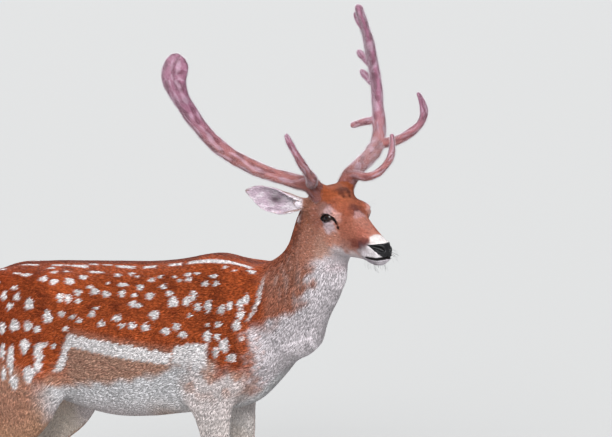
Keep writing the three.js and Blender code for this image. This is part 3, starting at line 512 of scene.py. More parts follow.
# %% Finer where forms are small
def refine(points, triangles, longest):
    """Cuts every edge that is longer than its place allows, and returns the points with the new ones last."""
    sides = np.sort(np.stack([triangles, np.roll(triangles, -1, 1)], 2).reshape(-1, 2), 1)
    code = sides[:, 0] * len(points) + sides[:, 1]
    keys, where = np.unique(code, return_inverse=True)
    edges = np.column_stack([keys // len(points), keys % len(points)])
    middle = points[edges].mean(1)
    length = np.linalg.norm(points[edges[:, 0]] - points[edges[:, 1]], axis=1)
    too_long = length > longest(middle)
    new = np.full(len(keys), -1)
    new[too_long] = len(points) + np.arange(too_long.sum())
    mids = new[where].reshape(-1, 3)
    out = [triangles[(mids < 0).all(1)]]
    a, b, c = triangles.T
    for turn_by in range(3):
        i = np.roll([0, 1, 2], -turn_by)
        p, q, r = triangles[:, i[0]], triangles[:, i[1]], triangles[:, i[2]]
        x, y, z = mids[:, i[0]], mids[:, i[1]], mids[:, i[2]]    # on p-q, q-r and r-p
        one = (x >= 0) & (y < 0) & (z < 0)
        out += [np.column_stack([p, x, r])[one], np.column_stack([x, q, r])[one]]
        two = (x >= 0) & (y >= 0) & (z < 0)
        out += [np.column_stack([x, q, y])[two], np.column_stack([p, x, y])[two], np.column_stack([p, y, r])[two]]
    x, y, z = mids.T
    every = (mids >= 0).all(1)
    out += [np.column_stack(t)[every] for t in ((a, x, z), (x, b, y), (z, y, c), (x, y, z))]
    return np.concatenate([points, middle[too_long]]), np.concatenate(out)


def neighbours_mean(points, triangles):
    """The mean of each point's neighbours."""
    total, count = np.zeros_like(points), np.zeros(len(points))
    for i, j in ((0, 1), (1, 2), (2, 0)):
        for a, b in ((i, j), (j, i)):
            for c in range(3):
                total[:, c] += np.bincount(triangles[:, a], points[triangles[:, b], c], len(points))
            count += np.bincount(triangles[:, a], minlength=len(points))
    return total / np.maximum(count, 1)[:, None]


def relax(field, points, triangles, chosen, rounds):
    """Evens out the chosen corners along the surface."""
    for _ in range(rounds):
        moved = points[chosen] * 0.4 + neighbours_mean(points, triangles)[chosen] * 0.6
        points[chosen] = settle(field, moved, 2)
    return points


def mesh_size(finest):
    """The longest edge allowed at a place, in mm: small on the face, smallest round eyes, nostrils and mouth."""
    def longest(p):
        h = to_head(p)
        m = np.column_stack([h[:, 0], np.abs(h[:, 1]), h[:, 2]])
        size = np.where(p[:, 2] < 470, 8.0, 12.5)
        size = np.where((p[:, 0] < -525) & (p[:, 2] > 580), 7.0, size)
        box = np.abs(h - [20, 0, -15]).max(1)
        size = np.where(box < 150, np.maximum(3.6, size * ramp(box, 125, 150)), size)
        near = box < 150
        s, t, d = eye_axes(m[near])
        detail = np.minimum.reduce([np.maximum(np.abs(almond(s, t)) - 7, 2 - d), tear_duct(m[near]) - 3,
                                    nostril(m[near]) - 5, mouth(m[near]) - 4])
        size[near] = np.where(detail < 0, 1.7, size[near])
        return np.maximum(size, finest)
    return longest


# %% The bare skin
def skin_mesh():
    points, quads = net_of(skin_field, [-600, -200, 0], [760, 200, 1130], 8.0, 3)
    triangles = cut_quads(points, quads)
    points = settle(skin_field, points, 3, 4.0)
    print("first net:", len(points), "corners")
    for finest in (7.0, 3.6, 3.0, 1.7, 1.7):
        known = len(points)
        points, triangles = refine(points, triangles, mesh_size(finest))
        points[known:] = settle(skin_field, points[known:], 3)
        near = np.abs(to_head(points) - [20, 0, -15]).max(1) < 160
        points = relax(skin_field, points, triangles, np.nonzero(near)[0], 1)
        print("refined to", finest, "mm:", len(points), "corners")
    return points, triangles
# %% [markdown]
# ## Ears, grown onto the skin
# An ear is a leaf rolled into a cup at its root and opening towards the tip. It is far thinner than the net's
# cells, so it is made as rings along its own axis, with an outer and an inner wall, and then joined to the
# skin with a Boolean union. The seam is smoothed afterwards, as skin runs up an ear without a step.

# %% An ear
EAR_BASE, EAR_LENGTH, EAR_WIDTH = np.array([-92.0, 62.0, 19.0]), 156.0, 66.0
EAR_AXIS = unit([-0.64, 0.77, 0.1])
EAR_OPENING = np.array([0.77, 0.64, -0.15])
EAR_OPENING = unit(EAR_OPENING - EAR_OPENING @ EAR_AXIS * EAR_AXIS)
EAR_ACROSS = np.cross(EAR_AXIS, EAR_OPENING)
EAR_ROWS = [  # share of the length, radius of the cup, half the arc it covers, thickness, bend
    [-0.10, 14, 150, 3.4, 0], [0, 15, 150, 3.2, 0], [0.12, 19, 138, 3, 0], [0.3, 27, 104, 2.6, 1],
    [0.48, 34, 76, 2.4, 3], [0.66, 38, 57, 2.2, 6], [0.8, 38, 40, 2, 11], [0.91, 36, 21, 1.8, 15],
    [0.97, 35, 9, 1.5, 17], [0.995, 34, 2, 1.2, 18],
]


def ear_mesh(side, rings=52, arc=26):
    """Corners (in head axes) and triangles of one closed ear."""
    rows = smooth_rows(EAR_ROWS, np.linspace(EAR_ROWS[0][0], EAR_ROWS[-1][0], rings))
    share = np.linspace(EAR_ROWS[0][0], EAR_ROWS[-1][0], rings)
    radius, half, thick, bend = rows.T
    ring = []
    for wall in (0, 1):
        across = np.linspace(-1, 1, arc)[::1 - 2 * wall]
        angle = np.radians(half)[:, None] * across
        edge = 1 - wall * 0.35 * np.abs(across) ** 6                 # the walls meet in a thin rim
        r = radius[:, None] - wall * thick[:, None] * edge
        middle = EAR_BASE + np.outer(share * EAR_LENGTH, EAR_AXIS) + np.outer(radius - 15 - bend, EAR_OPENING)
        rim_wave = 1 + 0.02 * np.sin(share * 21)[:, None] * across
        ring.append(middle[:, None] - (r * np.cos(angle))[..., None] * EAR_OPENING
                    + (r * rim_wave * np.sin(angle))[..., None] * EAR_ACROSS)
    points = np.concatenate(ring, 1)
    sides = arc * 2
    at = np.arange(rings * sides).reshape(rings, sides)
    a, b = at[:-1], at[1:]
    quads = np.stack([a, b, np.roll(b, -1, 1), np.roll(a, -1, 1)], -1).reshape(-1, 4)
    caps = [[end[k], end[k + 1], end[sides - 2 - k], end[sides - 1 - k]] for end in (at[0], at[-1][::-1])
            for k in range(arc - 1)]
    quads = np.concatenate([quads, np.array(caps)])
    points = points.reshape(-1, 3) * [1, side, 1]
    if side < 0:
        quads = quads[:, ::-1]
    return points, quads


def mesh_object(name, points, faces):
    """A Blender object at the origin from metres and faces of one size."""
    faces = np.asarray(faces)
    mesh = bpy.data.meshes.new(name)
    mesh.vertices.add(len(points))
    mesh.vertices.foreach_set("co", np.asarray(points, np.float32).ravel())
    mesh.loops.add(faces.size)
    mesh.loops.foreach_set("vertex_index", faces.astype(np.int32).ravel())
    mesh.polygons.add(len(faces))
    mesh.polygons.foreach_set("loop_start", np.arange(len(faces), dtype=np.int32) * faces.shape[1])
    mesh.update(calc_edges=True)
    piece = bpy.data.objects.new(name, mesh)
    bpy.context.scene.collection.objects.link(piece)
    return piece


def mesh_arrays(mesh):
    """Corners and triangles of a mesh, in mm of the drawing."""
    mesh.calc_loop_triangles()
    points = np.zeros(len(mesh.vertices) * 3, np.float32)
    mesh.vertices.foreach_get("co", points)
    triangles = np.zeros(len(mesh.loop_triangles) * 3, np.int32)
    mesh.loop_triangles.foreach_get("vertices", triangles)
    return drawn(points.reshape(-1, 3).astype(float)), triangles.reshape(-1, 3)


def joined(piece, others):
    """One closed mesh from several that overlap."""
    for other in others:
        union = piece.modifiers.new("union", "BOOLEAN")
        union.operation, union.solver, union.object = "UNION", "EXACT", other
    evaluated = piece.evaluated_get(bpy.context.evaluated_depsgraph_get())
    result = bpy.data.meshes.new_from_object(evaluated)
    piece.modifiers.clear()
    piece.data = result
    for other in others:
        bpy.data.objects.remove(other)
    return piece


def facing_out(piece):
    """Welds loose corners and turns every face outwards."""
    cast = bmesh.new()
    cast.from_mesh(piece.data)
    bmesh.ops.remove_doubles(cast, verts=cast.verts, dist=1e-6)
    bmesh.ops.recalc_face_normals(cast, faces=cast.faces)
    cast.to_mesh(piece.data)
    cast.free()
    return piece


def grow_ears(points, triangles):
    """The skin with both ears on it, as corners and triangles."""
    skin = mesh_object("skin", placed(points), triangles)
    ears = []
    for side, word in ((-1, "right"), (1, "left")):
        corners, quads = ear_mesh(side)
        ears.append(facing_out(mesh_object("ear_" + word + "_form", placed(from_head(corners)), quads)))
    joined(skin, ears)
    points, triangles = mesh_arrays(skin.data)
    bpy.data.objects.remove(skin)
    h = to_head(points)
    m = np.column_stack([h[:, 0], np.abs(h[:, 1]), h[:, 2]])
    along = (m - EAR_BASE) @ EAR_AXIS
    aside = np.linalg.norm(m - EAR_BASE - along[:, None] * EAR_AXIS, axis=1)
    seam = np.nonzero((along > -22) & (along < 42) & (aside < 44))[0]
    weight = (ramp(along[seam], -22, -8) * (1 - ramp(along[seam], 14, 42)))[:, None]
    for _ in range(10):
        mean = neighbours_mean(points, triangles)[seam]
        points[seam] += (mean - points[seam]) * weight * 0.6
    print("with ears:", len(points), "corners,", len(triangles), "triangles")
    return points, triangles
# %% [markdown]
# ## Colour in numbers
# Colours are chosen the way a painter names them, as red, green and blue from 0 to 255, and turned into the
# linear light that the renderer works with. Every mesh keeps its colours in one attribute, `Colour`, which
# its material reads.

# %% Colours
def paint_of(red, green, blue):
    value = np.array([red, green, blue]) / 255
    return np.where(value <= 0.04045, value / 12.92, ((value + 0.055) / 1.055) ** 2.4)


def mix(a, b, share):
    """Colour a with a share of colour b."""
    share = np.asarray(share)[..., None]
    return a * (1 - share) + b * share


def paint(piece, colour):
    """Stores a colour for each corner of the mesh."""
    layer = piece.data.attributes.get("Colour") or piece.data.attributes.new("Colour", "FLOAT_COLOR", "POINT")
    full = np.column_stack([np.broadcast_to(colour, (len(piece.data.vertices), 3)), np.ones(len(piece.data.vertices))])
    layer.data.foreach_set("color", full.astype(np.float32).ravel())


EYE_PUPIL, EYE_IRIS, EYE_WHITE = paint_of(6, 5, 7), paint_of(34, 20, 15), paint_of(44, 33, 29)
# %% [markdown]
# ## Lofts
# Antlers, hooves and dewclaws are lofts: rings of points set round a line, closed at both ends. The
# rows below are the same ones that shaped the solids, but drawn smoother. Each row is a place, a half width
# and a half thickness.

# %% Lofts
def rings_along(stations, broad, sides):
    """Rings round stations [x, y, z, half width, half thickness]; the width lies along `broad`."""
    middle = stations[:, :3]
    along = np.gradient(middle, axis=0)
    along /= np.linalg.norm(along, axis=1)[:, None]
    across = broad - (along @ broad)[:, None] * along
    across /= np.linalg.norm(across, axis=1)[:, None]
    up = np.cross(along, across)
    angle = np.linspace(0, 2 * np.pi, sides, endpoint=False)[None, :, None]
    return (middle[:, None] + across[:, None] * np.cos(angle) * stations[:, 3, None, None]
            + up[:, None] * np.sin(angle) * stations[:, 4, None, None])


def closed_rings(rings):
    """Corners and quads of rings, with a middle point over each end."""
    count, sides = rings.shape[:2]
    points = np.concatenate([rings.reshape(-1, 3), rings[:1].mean(1), rings[-1:].mean(1)])
    at = np.arange(count * sides).reshape(count, sides)
    a, b = at[:-1], at[1:]
    quads = np.stack([a, np.roll(a, -1, 1), np.roll(b, -1, 1), b], -1).reshape(-1, 4)
    triangles = np.concatenate([quads[:, [0, 1, 2]], quads[:, [0, 2, 3]]])
    ends = []
    for end, centre, order in ((at[0], len(points) - 2, -1), (at[-1], len(points) - 1, 1)):
        ring = end[::order]
        ends.append(np.column_stack([np.full(sides, centre), ring, np.roll(ring, -1)]))
    return points, np.concatenate([triangles, *ends])


def shown(name, points, faces, replaced, body_name="root"):
    """A finished piece at the origin, smooth, riding on the body and standing for some solids."""
    piece = mesh_object(name, points, faces)
    piece.data.shade_smooth()
    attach(piece, body_name)
    if replaced:
        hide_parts(*replaced)
    return piece


# %% [markdown]
# ## Antlers in velvet
# A growing antler is bone under a soft, warm skin of short fuzz. The stem is round and a little knobbed, the
# palm is flattened fore and aft, and the tips are blunt and swollen. Each antler is lofted in overlapping
# parts, then melted into one body with a voxel remesh and smoothed, so that tines grow out without a seam.

# %% Antlers
RIGHT_STEM = [  # x, y outwards, z, half width, half thickness, in head axes
    [-60, 40, 40, 22, 22], [-68, 52, 62, 23, 22], [-78, 64, 75, 22, 21], [-98, 80, 78, 20, 19],
    [-125, 98, 82, 20, 18], [-190, 160, 106, 20, 18], [-250, 229, 157, 20, 18], [-285, 275, 218, 21, 18],
    [-300, 301, 260, 23, 18], [-310, 321, 300, 29, 18], [-316, 327, 336, 36, 18], [-316, 320, 362, 35, 17],
    [-314, 313, 379, 26, 13], [-312, 309, 387, 13, 7],
]
RIGHT_BROW = [
    [-70, 62, 76, 14, 14], [-42, 86, 92, 13, 13], [-14, 110, 112, 13, 12], [0, 149, 150, 11, 10], [0, 174, 183, 9, 9],
    [-10, 187, 211, 8, 7.5], [-20, 192, 230, 6, 6], [-22, 193, 237, 3, 3],
]
RIGHT_KNOB = [[-74, 70, 92, 9, 9], [-72, 78, 106, 8, 8], [-71, 80, 112, 5, 5]]
LEFT_STEM = [
    [-60, 38, 42, 22, 22], [-68, 50, 66, 23, 22], [-78, 70, 80, 22, 21], [-100, 112, 92, 20, 19],
    [-130, 174, 106, 21, 19], [-165, 229, 124, 23, 18], [-190, 255, 150, 24, 17], [-215, 270, 187, 23, 16],
    [-236, 281, 229, 26, 14], [-252, 286, 274, 30, 13], [-266, 283, 319, 33, 13], [-276, 276, 369, 33, 12],
    [-282, 262, 414, 29, 11], [-283, 248, 446, 21, 10], [-281, 239, 464, 13, 9], [-280, 237, 470, 6, 5],
]
LEFT_BROW = [
    [-72, 60, 84, 14, 14], [-38, 62, 92, 13, 12], [-8, 66, 96, 12, 11], [14, 79, 107, 11, 10], [25, 98, 129, 10, 9],
    [25, 114, 150, 9, 8], [14, 127, 177, 7.5, 7], [2, 134, 196, 6, 6], [0, 135, 202, 3, 3],
]
LEFT_TREZ = [
    [-166, 226, 128, 14, 14], [-142, 246, 132, 13, 13], [-118, 258, 142, 13, 12], [-92, 279, 166, 12, 11],
    [-76, 296, 192, 11.5, 10.5], [-70, 301, 222, 11, 10], [-76, 296, 252, 9, 8.5], [-84, 291, 269, 6.5, 6],
    [-86, 290, 275, 3, 3],
]
LEFT_REAR = [
    [-203, 262, 176, 11, 11], [-230, 255, 170, 10, 9], [-250, 246, 162, 9, 8], [-270, 236, 152, 8.5, 8],
    [-278, 233, 150, 5, 5],
]
LEFT_POINTS = [  # small points on the rear edge of the left palm
    [[-264, 285, 262, 11, 10], [-298, 289, 273, 9.5, 9], [-318, 291, 282, 6, 5]],
    [[-272, 281, 312, 11, 10], [-310, 286, 324, 9.5, 9], [-330, 288, 332, 6, 5]],
    [[-276, 256, 410, 10, 10], [-296, 251, 430, 8.5, 8], [-306, 247, 446, 5, 4]],
]
ANTLERS = {
    "right": [RIGHT_STEM, RIGHT_BROW, RIGHT_KNOB],
    "left": [LEFT_STEM, LEFT_BROW, LEFT_TREZ, LEFT_REAR, *LEFT_POINTS],
}
ANTLER_NODES = {
    "right": ["antler_right_beam", "antler_right_palm", "antler_right_brow_tine"],
    "left": ["antler_left_beam", "antler_left_palm", "antler_left_brow_tine", "antler_left_trez_tine",
             "antler_left_rear_tine"],
}
VELVET_VOXEL = 2.1 * MM
THIN_TINE = 0.8                  # thin tines lose this much to the smoothing
NAP = 0.4                        # the fuzz stands this much over the velvet's skin


def loft_object(name, rings):
    points, triangles = closed_rings(rings)
    return facing_out(mesh_object(name, placed(points), triangles))


def antler_mesh(name, side, limbs):
    """Corners and triangles of one antler, in mm of the drawing."""
    fore_and_aft = HEAD_TURN @ np.array([0.9, -0.44 * side, 0])
    cast = bmesh.new()
    for rows in limbs:
        fine = finer(rows, 6)
        fine[:, 3:] = np.maximum(fine[:, 3:] - NAP, 2) + THIN_TINE * (fine[:, 3:] < 10)
        fine[:, :3] = from_head(fine[:, :3] * [1, side, 1])
        part = loft_object(name, rings_along(fine, fore_and_aft, 24))
        cast.from_mesh(part.data)
        bpy.data.objects.remove(part)
    mesh = bpy.data.meshes.new(name)
    cast.to_mesh(mesh)
    cast.free()
    stem = bpy.data.objects.new(name, mesh)
    bpy.context.scene.collection.objects.link(stem)
    remesh = stem.modifiers.new("remesh", "REMESH")
    remesh.mode, remesh.voxel_size = "VOXEL", VELVET_VOXEL
    smooth = stem.modifiers.new("smooth", "SMOOTH")
    smooth.factor, smooth.iterations = 0.6, 8
    result = bpy.data.meshes.new_from_object(stem.evaluated_get(bpy.context.evaluated_depsgraph_get()))
    points, triangles = mesh_arrays(result)
    bpy.data.objects.remove(stem)
    return points, triangles


def corner_normals(points, triangles):
    """The outward direction at each corner."""
    face = np.cross(points[triangles[:, 1]] - points[triangles[:, 0]], points[triangles[:, 2]] - points[triangles[:, 0]])
    total = np.zeros_like(points)
    for c in range(3):
        for axis in range(3):
            total[:, axis] += np.bincount(triangles[:, c], face[:, axis], len(points))
    return total / (np.linalg.norm(total, axis=1)[:, None] + 1e-12)


def waves(p, length, seed):
    """A smooth random field between about -1 and 1, with waves of the given length."""
    draw = np.random.default_rng(seed)
    total = np.zeros(len(p))
    for _ in range(7):
        direction = unit(draw.normal(size=3))
        total += np.sin(p @ direction * 2 * np.pi / length * draw.uniform(0.7, 1.4) + draw.uniform(0, 6.28))
    return total / 2.6


def knobbed(points, triangles):
    """The uneven swell of a growing antler."""
    out = corner_normals(points, triangles)
    return points + out * (0.9 * waves(points, 46, 3) + 0.35 * waves(points, 15, 4))[:, None]


# %% [markdown]
# ## Hooves and dewclaws
# A hoof is a wall of horn round a soft middle. It grows down from the coronet, so its wall carries fine rings
# that run round it, and its toe is worn to a blunt point. The two halves stand a little apart.

# %% Hooves
SOLE = [[-26, 2], [-30, 9], [-25, 19], [-6, 24], [14, 21], [28, 13], [35, 5], [31, 1], [10, 0.6], [-10, 0.6]]
TOP = [[-20, 2], [-24, 9], [-21, 17], [-6, 20.5], [6, 18], [12, 11], [14, 5], [12, 1], [4, 0.6], [-10, 0.6]]
HOOF_STRETCH, CUT = 64 / 65, 0.4


def round_outline(outline, count):
    """A closed smooth line through a few points."""
    points = np.array(outline, float)
    wrapped = np.vstack([points[-2:], points, points[:3]])
    rows = np.column_stack([np.arange(len(wrapped)), wrapped])
    return smooth_rows(rows, 2 + np.linspace(0, len(points), count, endpoint=False))


def claw_rings(foot, outward, heights=16, count=44):
    """Rings of one half hoof, from the sole to the coronet."""
    sole, top = round_outline(SOLE, count), round_outline(TOP, count)
    sole[:, 1], top[:, 1] = np.maximum(sole[:, 1], 0.6), np.maximum(top[:, 1], 0.6)
    rise = CORONET - CUT + (top[:, 0] + 2) * CORONET_SLOPE
    rings = []
    for t in np.linspace(0, 1, heights):
        share = t**1.08
        bulge = 4 * t * (1 - t)
        outline = sole + (top - sole) * share
        outline[:, 0] += bulge * 0.9
        outline[:, 1] += bulge * 0.5
        middle = outline.mean(0)
        ring_mark = 1 + 0.006 * math.sin(t * 46) - 0.05 * max(0, 1 - t / 0.07) - 0.05 * max(0, (t - 0.95) / 0.05)
        outline = middle + (outline - middle) * ring_mark
        rings.append(np.column_stack([foot[0] + outline[:, 0] * HOOF_STRETCH,
                                      foot[1] + np.maximum(outline[:, 1], 0.6) * outward, rise * t]))
    return np.array(rings)


def dewclaw_rings(foot, outward, ankle):
    rows = [[8, -1, 6, 6, 5], [4, 0, 1, 7, 6], [-3, 1, -6, 8, 6.5], [-8, 2, -14, 5.4, 4.8], [-9.5, 2, -17.5, 2.6, 2.3]]
    rows = [[ankle + x, foot[1] + outward * (11 + y), 104 + z, *size] for x, y, z, *size in rows]
    return rings_along(finer(rows, 4), np.array([0, 1.0, 0]), 16)


FOOT_NAMES = ["fore_right", "fore_left", "hind_right", "hind_left"]


def make_foot_horn(name, foot):
    """Two half hooves and two dewclaws, one joined mesh."""
    kind, word = name.split("_")
    side = 1 if word == "left" else -1
    ankle = foot[0] - 52 + (-10 if name == "hind_left" else 0)
    points, triangles = [], []
    for outward in (-side, side):
        for rings in (claw_rings(foot, outward), dewclaw_rings(foot, outward, ankle)):
            p, t = closed_rings(rings)
            triangles.append(t + sum(map(len, points)))
            points.append(p)
    nodes = [f"{what}_{name}_{where}" for what in ("hoof", "dewclaw") for where in ("inner", "outer")]
    piece = shown("horn_" + name, placed(np.concatenate(points)), np.concatenate(triangles), nodes)
    return facing_out(piece)


# %% [markdown]
# ## Eyes
# A deer's eye is large, dark and set to the side. Its pupil is a lying oval, so the ball is painted in its own
# axes: the slit runs fore and aft, and the iris is a shade lighter than the pupil.

# %% Eyes
def make_eye(word, side, rows=56, around=96):
    polar = np.linspace(0.02, np.pi - 0.02, rows)[:, None]
    angle = np.linspace(0, 2 * np.pi, around, endpoint=False)[None]
    s, t, d = np.sin(polar) * np.cos(angle), np.sin(polar) * np.sin(angle), np.cos(polar) + 0 * angle
    bulge = 1 + 0.035 * np.clip((d - 0.8) / 0.2, 0, 1) ** 2            # the clear cornea stands out a little
    m = EYE_PLACE + EYE_RADIUS * bulge[..., None] * (s[..., None] * SLIT + t[..., None] * SLIT_UP
                                                     + d[..., None] * EYE_OUT)
    points, triangles = closed_rings(from_head((m * [1, side, 1]).reshape(-1, 3)).reshape(rows, around, 3))
    piece = facing_out(shown("eye_ball_" + word, placed(points), triangles, ["eye_" + word]))
    h = to_head(mesh_arrays(piece.data)[0])
    s, t, d = eye_axes(h * [1, side, 1])
    pupil = np.sqrt((s / 6.2) ** 2 + (t / 3.6) ** 2)
    iris = np.sqrt(s * s + t * t) / 10.5
    streaks = 0.5 + 0.5 * np.sin(np.arctan2(t, s) * 41 + 2 * np.sin(np.arctan2(t, s) * 7))
    colour = mix(mix(EYE_WHITE, EYE_IRIS * (0.75 + 0.5 * streaks[:, None]), 1 - ramp(iris, 0.95, 1.05)),
                 EYE_PUPIL, 1 - ramp(pupil, 0.9, 1.12))
    colour = mix(colour, EYE_PUPIL, (1 - ramp(d, 0, 6)) * 0.7)
    paint(piece, colour)
    return piece
# %% [markdown]
# ## Where a point is
# Colour, length and direction of the hair all depend on the part of the body. These shares run from 0 to 1
# and overlap softly, so the coat changes from part to part without a border.

# %% Parts of the body
class Place:
    """Points of the skin with everything that colour and hair ask of them."""

    def __init__(self, p, normal):
        self.p, self.normal = p, normal
        self.x, self.y, self.z = p.T
        self.side = np.where(self.y < 0, -1.0, 1.0)
        self.aside = np.abs(self.y)
        self.h = to_head(p)
        self.hn = normal @ HEAD_TURN
        flip = np.where(self.h[:, 1] < 0, -1.0, 1.0)
        self.m = self.h * np.column_stack([np.ones(len(p)), flip, np.ones(len(p))])
        self.mn = self.hn * np.column_stack([np.ones(len(p)), flip, np.ones(len(p))])
        along = (self.m - EAR_BASE) @ EAR_AXIS
        off = self.m - EAR_BASE - along[:, None] * EAR_AXIS
        self.ear_along = along
        self.ear = ramp(along, 2, 16) * (np.linalg.norm(off, axis=1) < 62) * (self.m[:, 1] > 55)
        self.ear_inner = self.ear * ramp(self.mn @ EAR_OPENING, -0.05, 0.25)
        self.face = share_of_face(self.h) * (1 - self.ear)
        axis = unit([100, 0, 190])
        up_neck = (p - np.array([430.0, 0, 850])) @ axis
        self.neck = ramp(up_neck, -70, -10) * ramp(self.x, 306, 356) * (1 - self.face) * (1 - self.ear)
        centre = smooth_rows(np.array([[s[2], s[0], s[1]] for s in NECK]), np.clip(self.z, 752, 1040))
        self.round_neck = np.degrees(np.arctan2(self.y - centre[:, 1], self.x - centre[:, 0] - 0.3 * (self.z - 930)))
        self.tail = (self.x < -536) * (self.aside < 34) * ramp(-self.x, 534, 542)
        self.leg = 1 - ramp(self.z, 430, 560)


# %% [markdown]
# ## Markings
# A fallow deer's summer coat is chestnut with white spots in loose rows. The topmost row almost joins into a
# line along the spine, and the lowest runs together into a white line along the flank. Under it lies a fawn
# band, and the belly, the throat and the insides of the legs are white.
# Spots are placed on the round of the body: by their distance along it and by the angle down from the spine.
# The left side gets the same spots, each moved a little, because no two sides of a deer are alike.

# %% Spots
SPOTS = [  # x, degrees down from the spine, length, height
    (-320, 32, 32, 11), (-345, 31, 16, 8), (-262, 37, 24, 18), (-257, 21, 24, 13), (-240, 29, 16, 13),
    (-206, 26, 16, 8), (-229, 40, 21, 17), (-188, 37, 24, 19), (-157, 30, 20, 15), (-129, 22, 43, 9),
    (-149, 10, 27, 8), (-217, 14, 27, 7), (-174, 16, 32, 6), (-109, 11, 27, 7), (-86, 34, 13, 7), (-65, 25, 19, 12),
    (-71, 13, 27, 7), (-41, 35, 29, 10), (-27, 23, 16, 10), (-8, 26, 13, 7), (8, 37, 21, 17), (-2, 45, 18, 10),
    (34, 29, 19, 13), (56, 26, 15, 9), (72, 35, 18, 15), (92, 41, 18, 14), (98, 26, 11, 7), (113, 29, 15, 10),
    (132, 24, 16, 11), (138, 28, 16, 12), (158, 23, 16, 6), (186, 31, 16, 14), (216, 31, 15, 12), (206, 25, 24, 9),
    (229, 18, 15, 10), (263, 22, 13, 8), (309, 22, 21, 13),
    (-365, 55, 16, 23), (-329, 55, 17, 20), (-340, 47, 15, 11), (-346, 65, 19, 17), (-294, 61, 23, 28),
    (-242, 73, 24, 33), (-203, 69, 16, 17), (-207, 53, 17, 20), (-186, 53, 20, 20), (-161, 46, 19, 17),
    (-159, 54, 15, 12), (-132, 39, 12, 10), (-117, 43, 25, 17), (-84, 45, 22, 17), (-39, 44, 20, 18),
    (41, 45, 22, 18), (106, 49, 27, 27), (-4, 54, 22, 18), (14, 55, 16, 12), (141, 47, 19, 23), (157, 41, 19, 23),
    (172, 51, 17, 19), (201, 50, 21, 29), (239, 53, 20, 22), (262, 49, 16, 21), (291, 48, 18, 24), (306, 43, 16, 22),
    (-116, 67, 18, 18), (-105, 60, 16, 7), (-171, 71, 17, 12), (-151, 75, 16, 12), (-44, 70, 26, 18),
    (-87, 77, 20, 16), (-28, 78, 19, 12), (1, 77, 21, 18), (37, 78, 24, 20), (58, 64, 24, 23), (-190, 86, 16, 13),
    (152, 61, 10, 10), (120, 75, 19, 20), (92, 81, 21, 20), (138, 84, 23, 18), (203, 70, 10, 10), (232, 69, 19, 16),
    (204, 84, 21, 29), (231, 84, 17, 18), (251, 94, 27, 34), (229, 102, 15, 27), (273, 107, 26, 20),
    (219, 117, 13, 20), (283, 69, 21, 29), (292, 58, 19, 20), (299, 84, 12, 12),
    (-363, 89, 18, 33), (-329, 85, 25, 29), (-293, 85, 21, 25), (-269, 88, 18, 18), (-362, 112, 14, 40),
    (-338, 118, 19, 65), (-300, 106, 25, 36), (-223, 106, 13, 15), (-287, 128, 30, 35), (-328, 133, 25, 28),
    (-358, 129, 14, 28), (-396, 44, 20, 12), (-402, 63, 17, 20), (-408, 84, 18, 24), (-404, 106, 16, 30),
    (-392, 26, 26, 9), (-436, 52, 16, 14), (-446, 76, 15, 20), (-442, 98, 14, 24), (-430, 122, 14, 26),
    (-476, 66, 13, 14), (-484, 90, 12, 18),
]
CORE_HEIGHT = 700                # the angle round the trunk is measured about this level


def on_trunk(x, degrees, side):
    """Points of the skin at a distance along the trunk and an angle down from the spine."""
    angle = np.radians(degrees)
    ray = np.column_stack([0 * angle, side * np.sin(angle), np.cos(angle)])
    start = np.column_stack([x, 0 * angle, np.full(len(angle), CORE_HEIGHT)])
    near, far = np.zeros(len(angle)), np.full(len(angle), 330.0)
    for _ in range(12):
        middle = (near + far) / 2
        inside = skin_field(start + ray * middle[:, None]) < 0
        near, far = np.where(inside, middle, near), np.where(inside, far, middle)
    return start + ray * near[:, None], ray


def place_spots(side):
    """For each spot: centre, direction along, direction across, half length, half height, wobble."""
    x, degrees, length, height = np.array(SPOTS, float).T
    draw = np.random.default_rng(31)
    if side > 0:
        x, degrees = x + draw.normal(0, 7, len(x)), degrees + draw.normal(0, 2.5, len(x))
        length, height = length * draw.uniform(0.8, 1.2, len(x)), height * draw.uniform(0.8, 1.2, len(x))
    centre, ray = on_trunk(x, degrees, side)
    along = np.array([1.0, 0, 0]) + 0 * centre
    across = unit_rows(np.cross(ray, along))
    return centre, along, across, length / 2, height / 2, draw.uniform(0, 6.28, len(x))


def unit_rows(v):
    return v / (np.linalg.norm(v, axis=1)[:, None] + 1e-12)


SPOTS_PLACED = {side: place_spots(side) for side in (-1, 1)}


def spotted(place):
    """The share of white at each point, from all the spots."""
    white = np.zeros(len(place.p))
    for side, (centre, along, across, half_long, half_high, turn_by) in SPOTS_PLACED.items():
        mine = np.nonzero((place.side == side) & (place.x > -520) & (place.x < 345) & (place.z > 540))[0]
        q = place.p[mine]
        order = np.argsort(q[:, 0])
        mine, q = mine[order], q[order]
        for c, e, f, a, b, w in zip(centre, along, across, half_long, half_high, turn_by):
            first, last = np.searchsorted(q[:, 0], [c[0] - a - 8, c[0] + a + 8])
            off = q[first:last] - c
            s, t = off @ e / a, off @ f / b
            far = np.linalg.norm(off, axis=1) > 1.6 * max(a, b) + 10
            ripple = 1 + 0.10 * np.sin(3 * np.arctan2(t, s) + w) + 0.06 * np.sin(5 * np.arctan2(t, s) + 2 * w)
            reach = np.sqrt(s * s + t * t) / ripple
            share = np.where(far, 0, 1 - ramp(reach, 0.86, 1.16))
            white[mine[first:last]] = np.maximum(white[mine[first:last]], share)
    return white


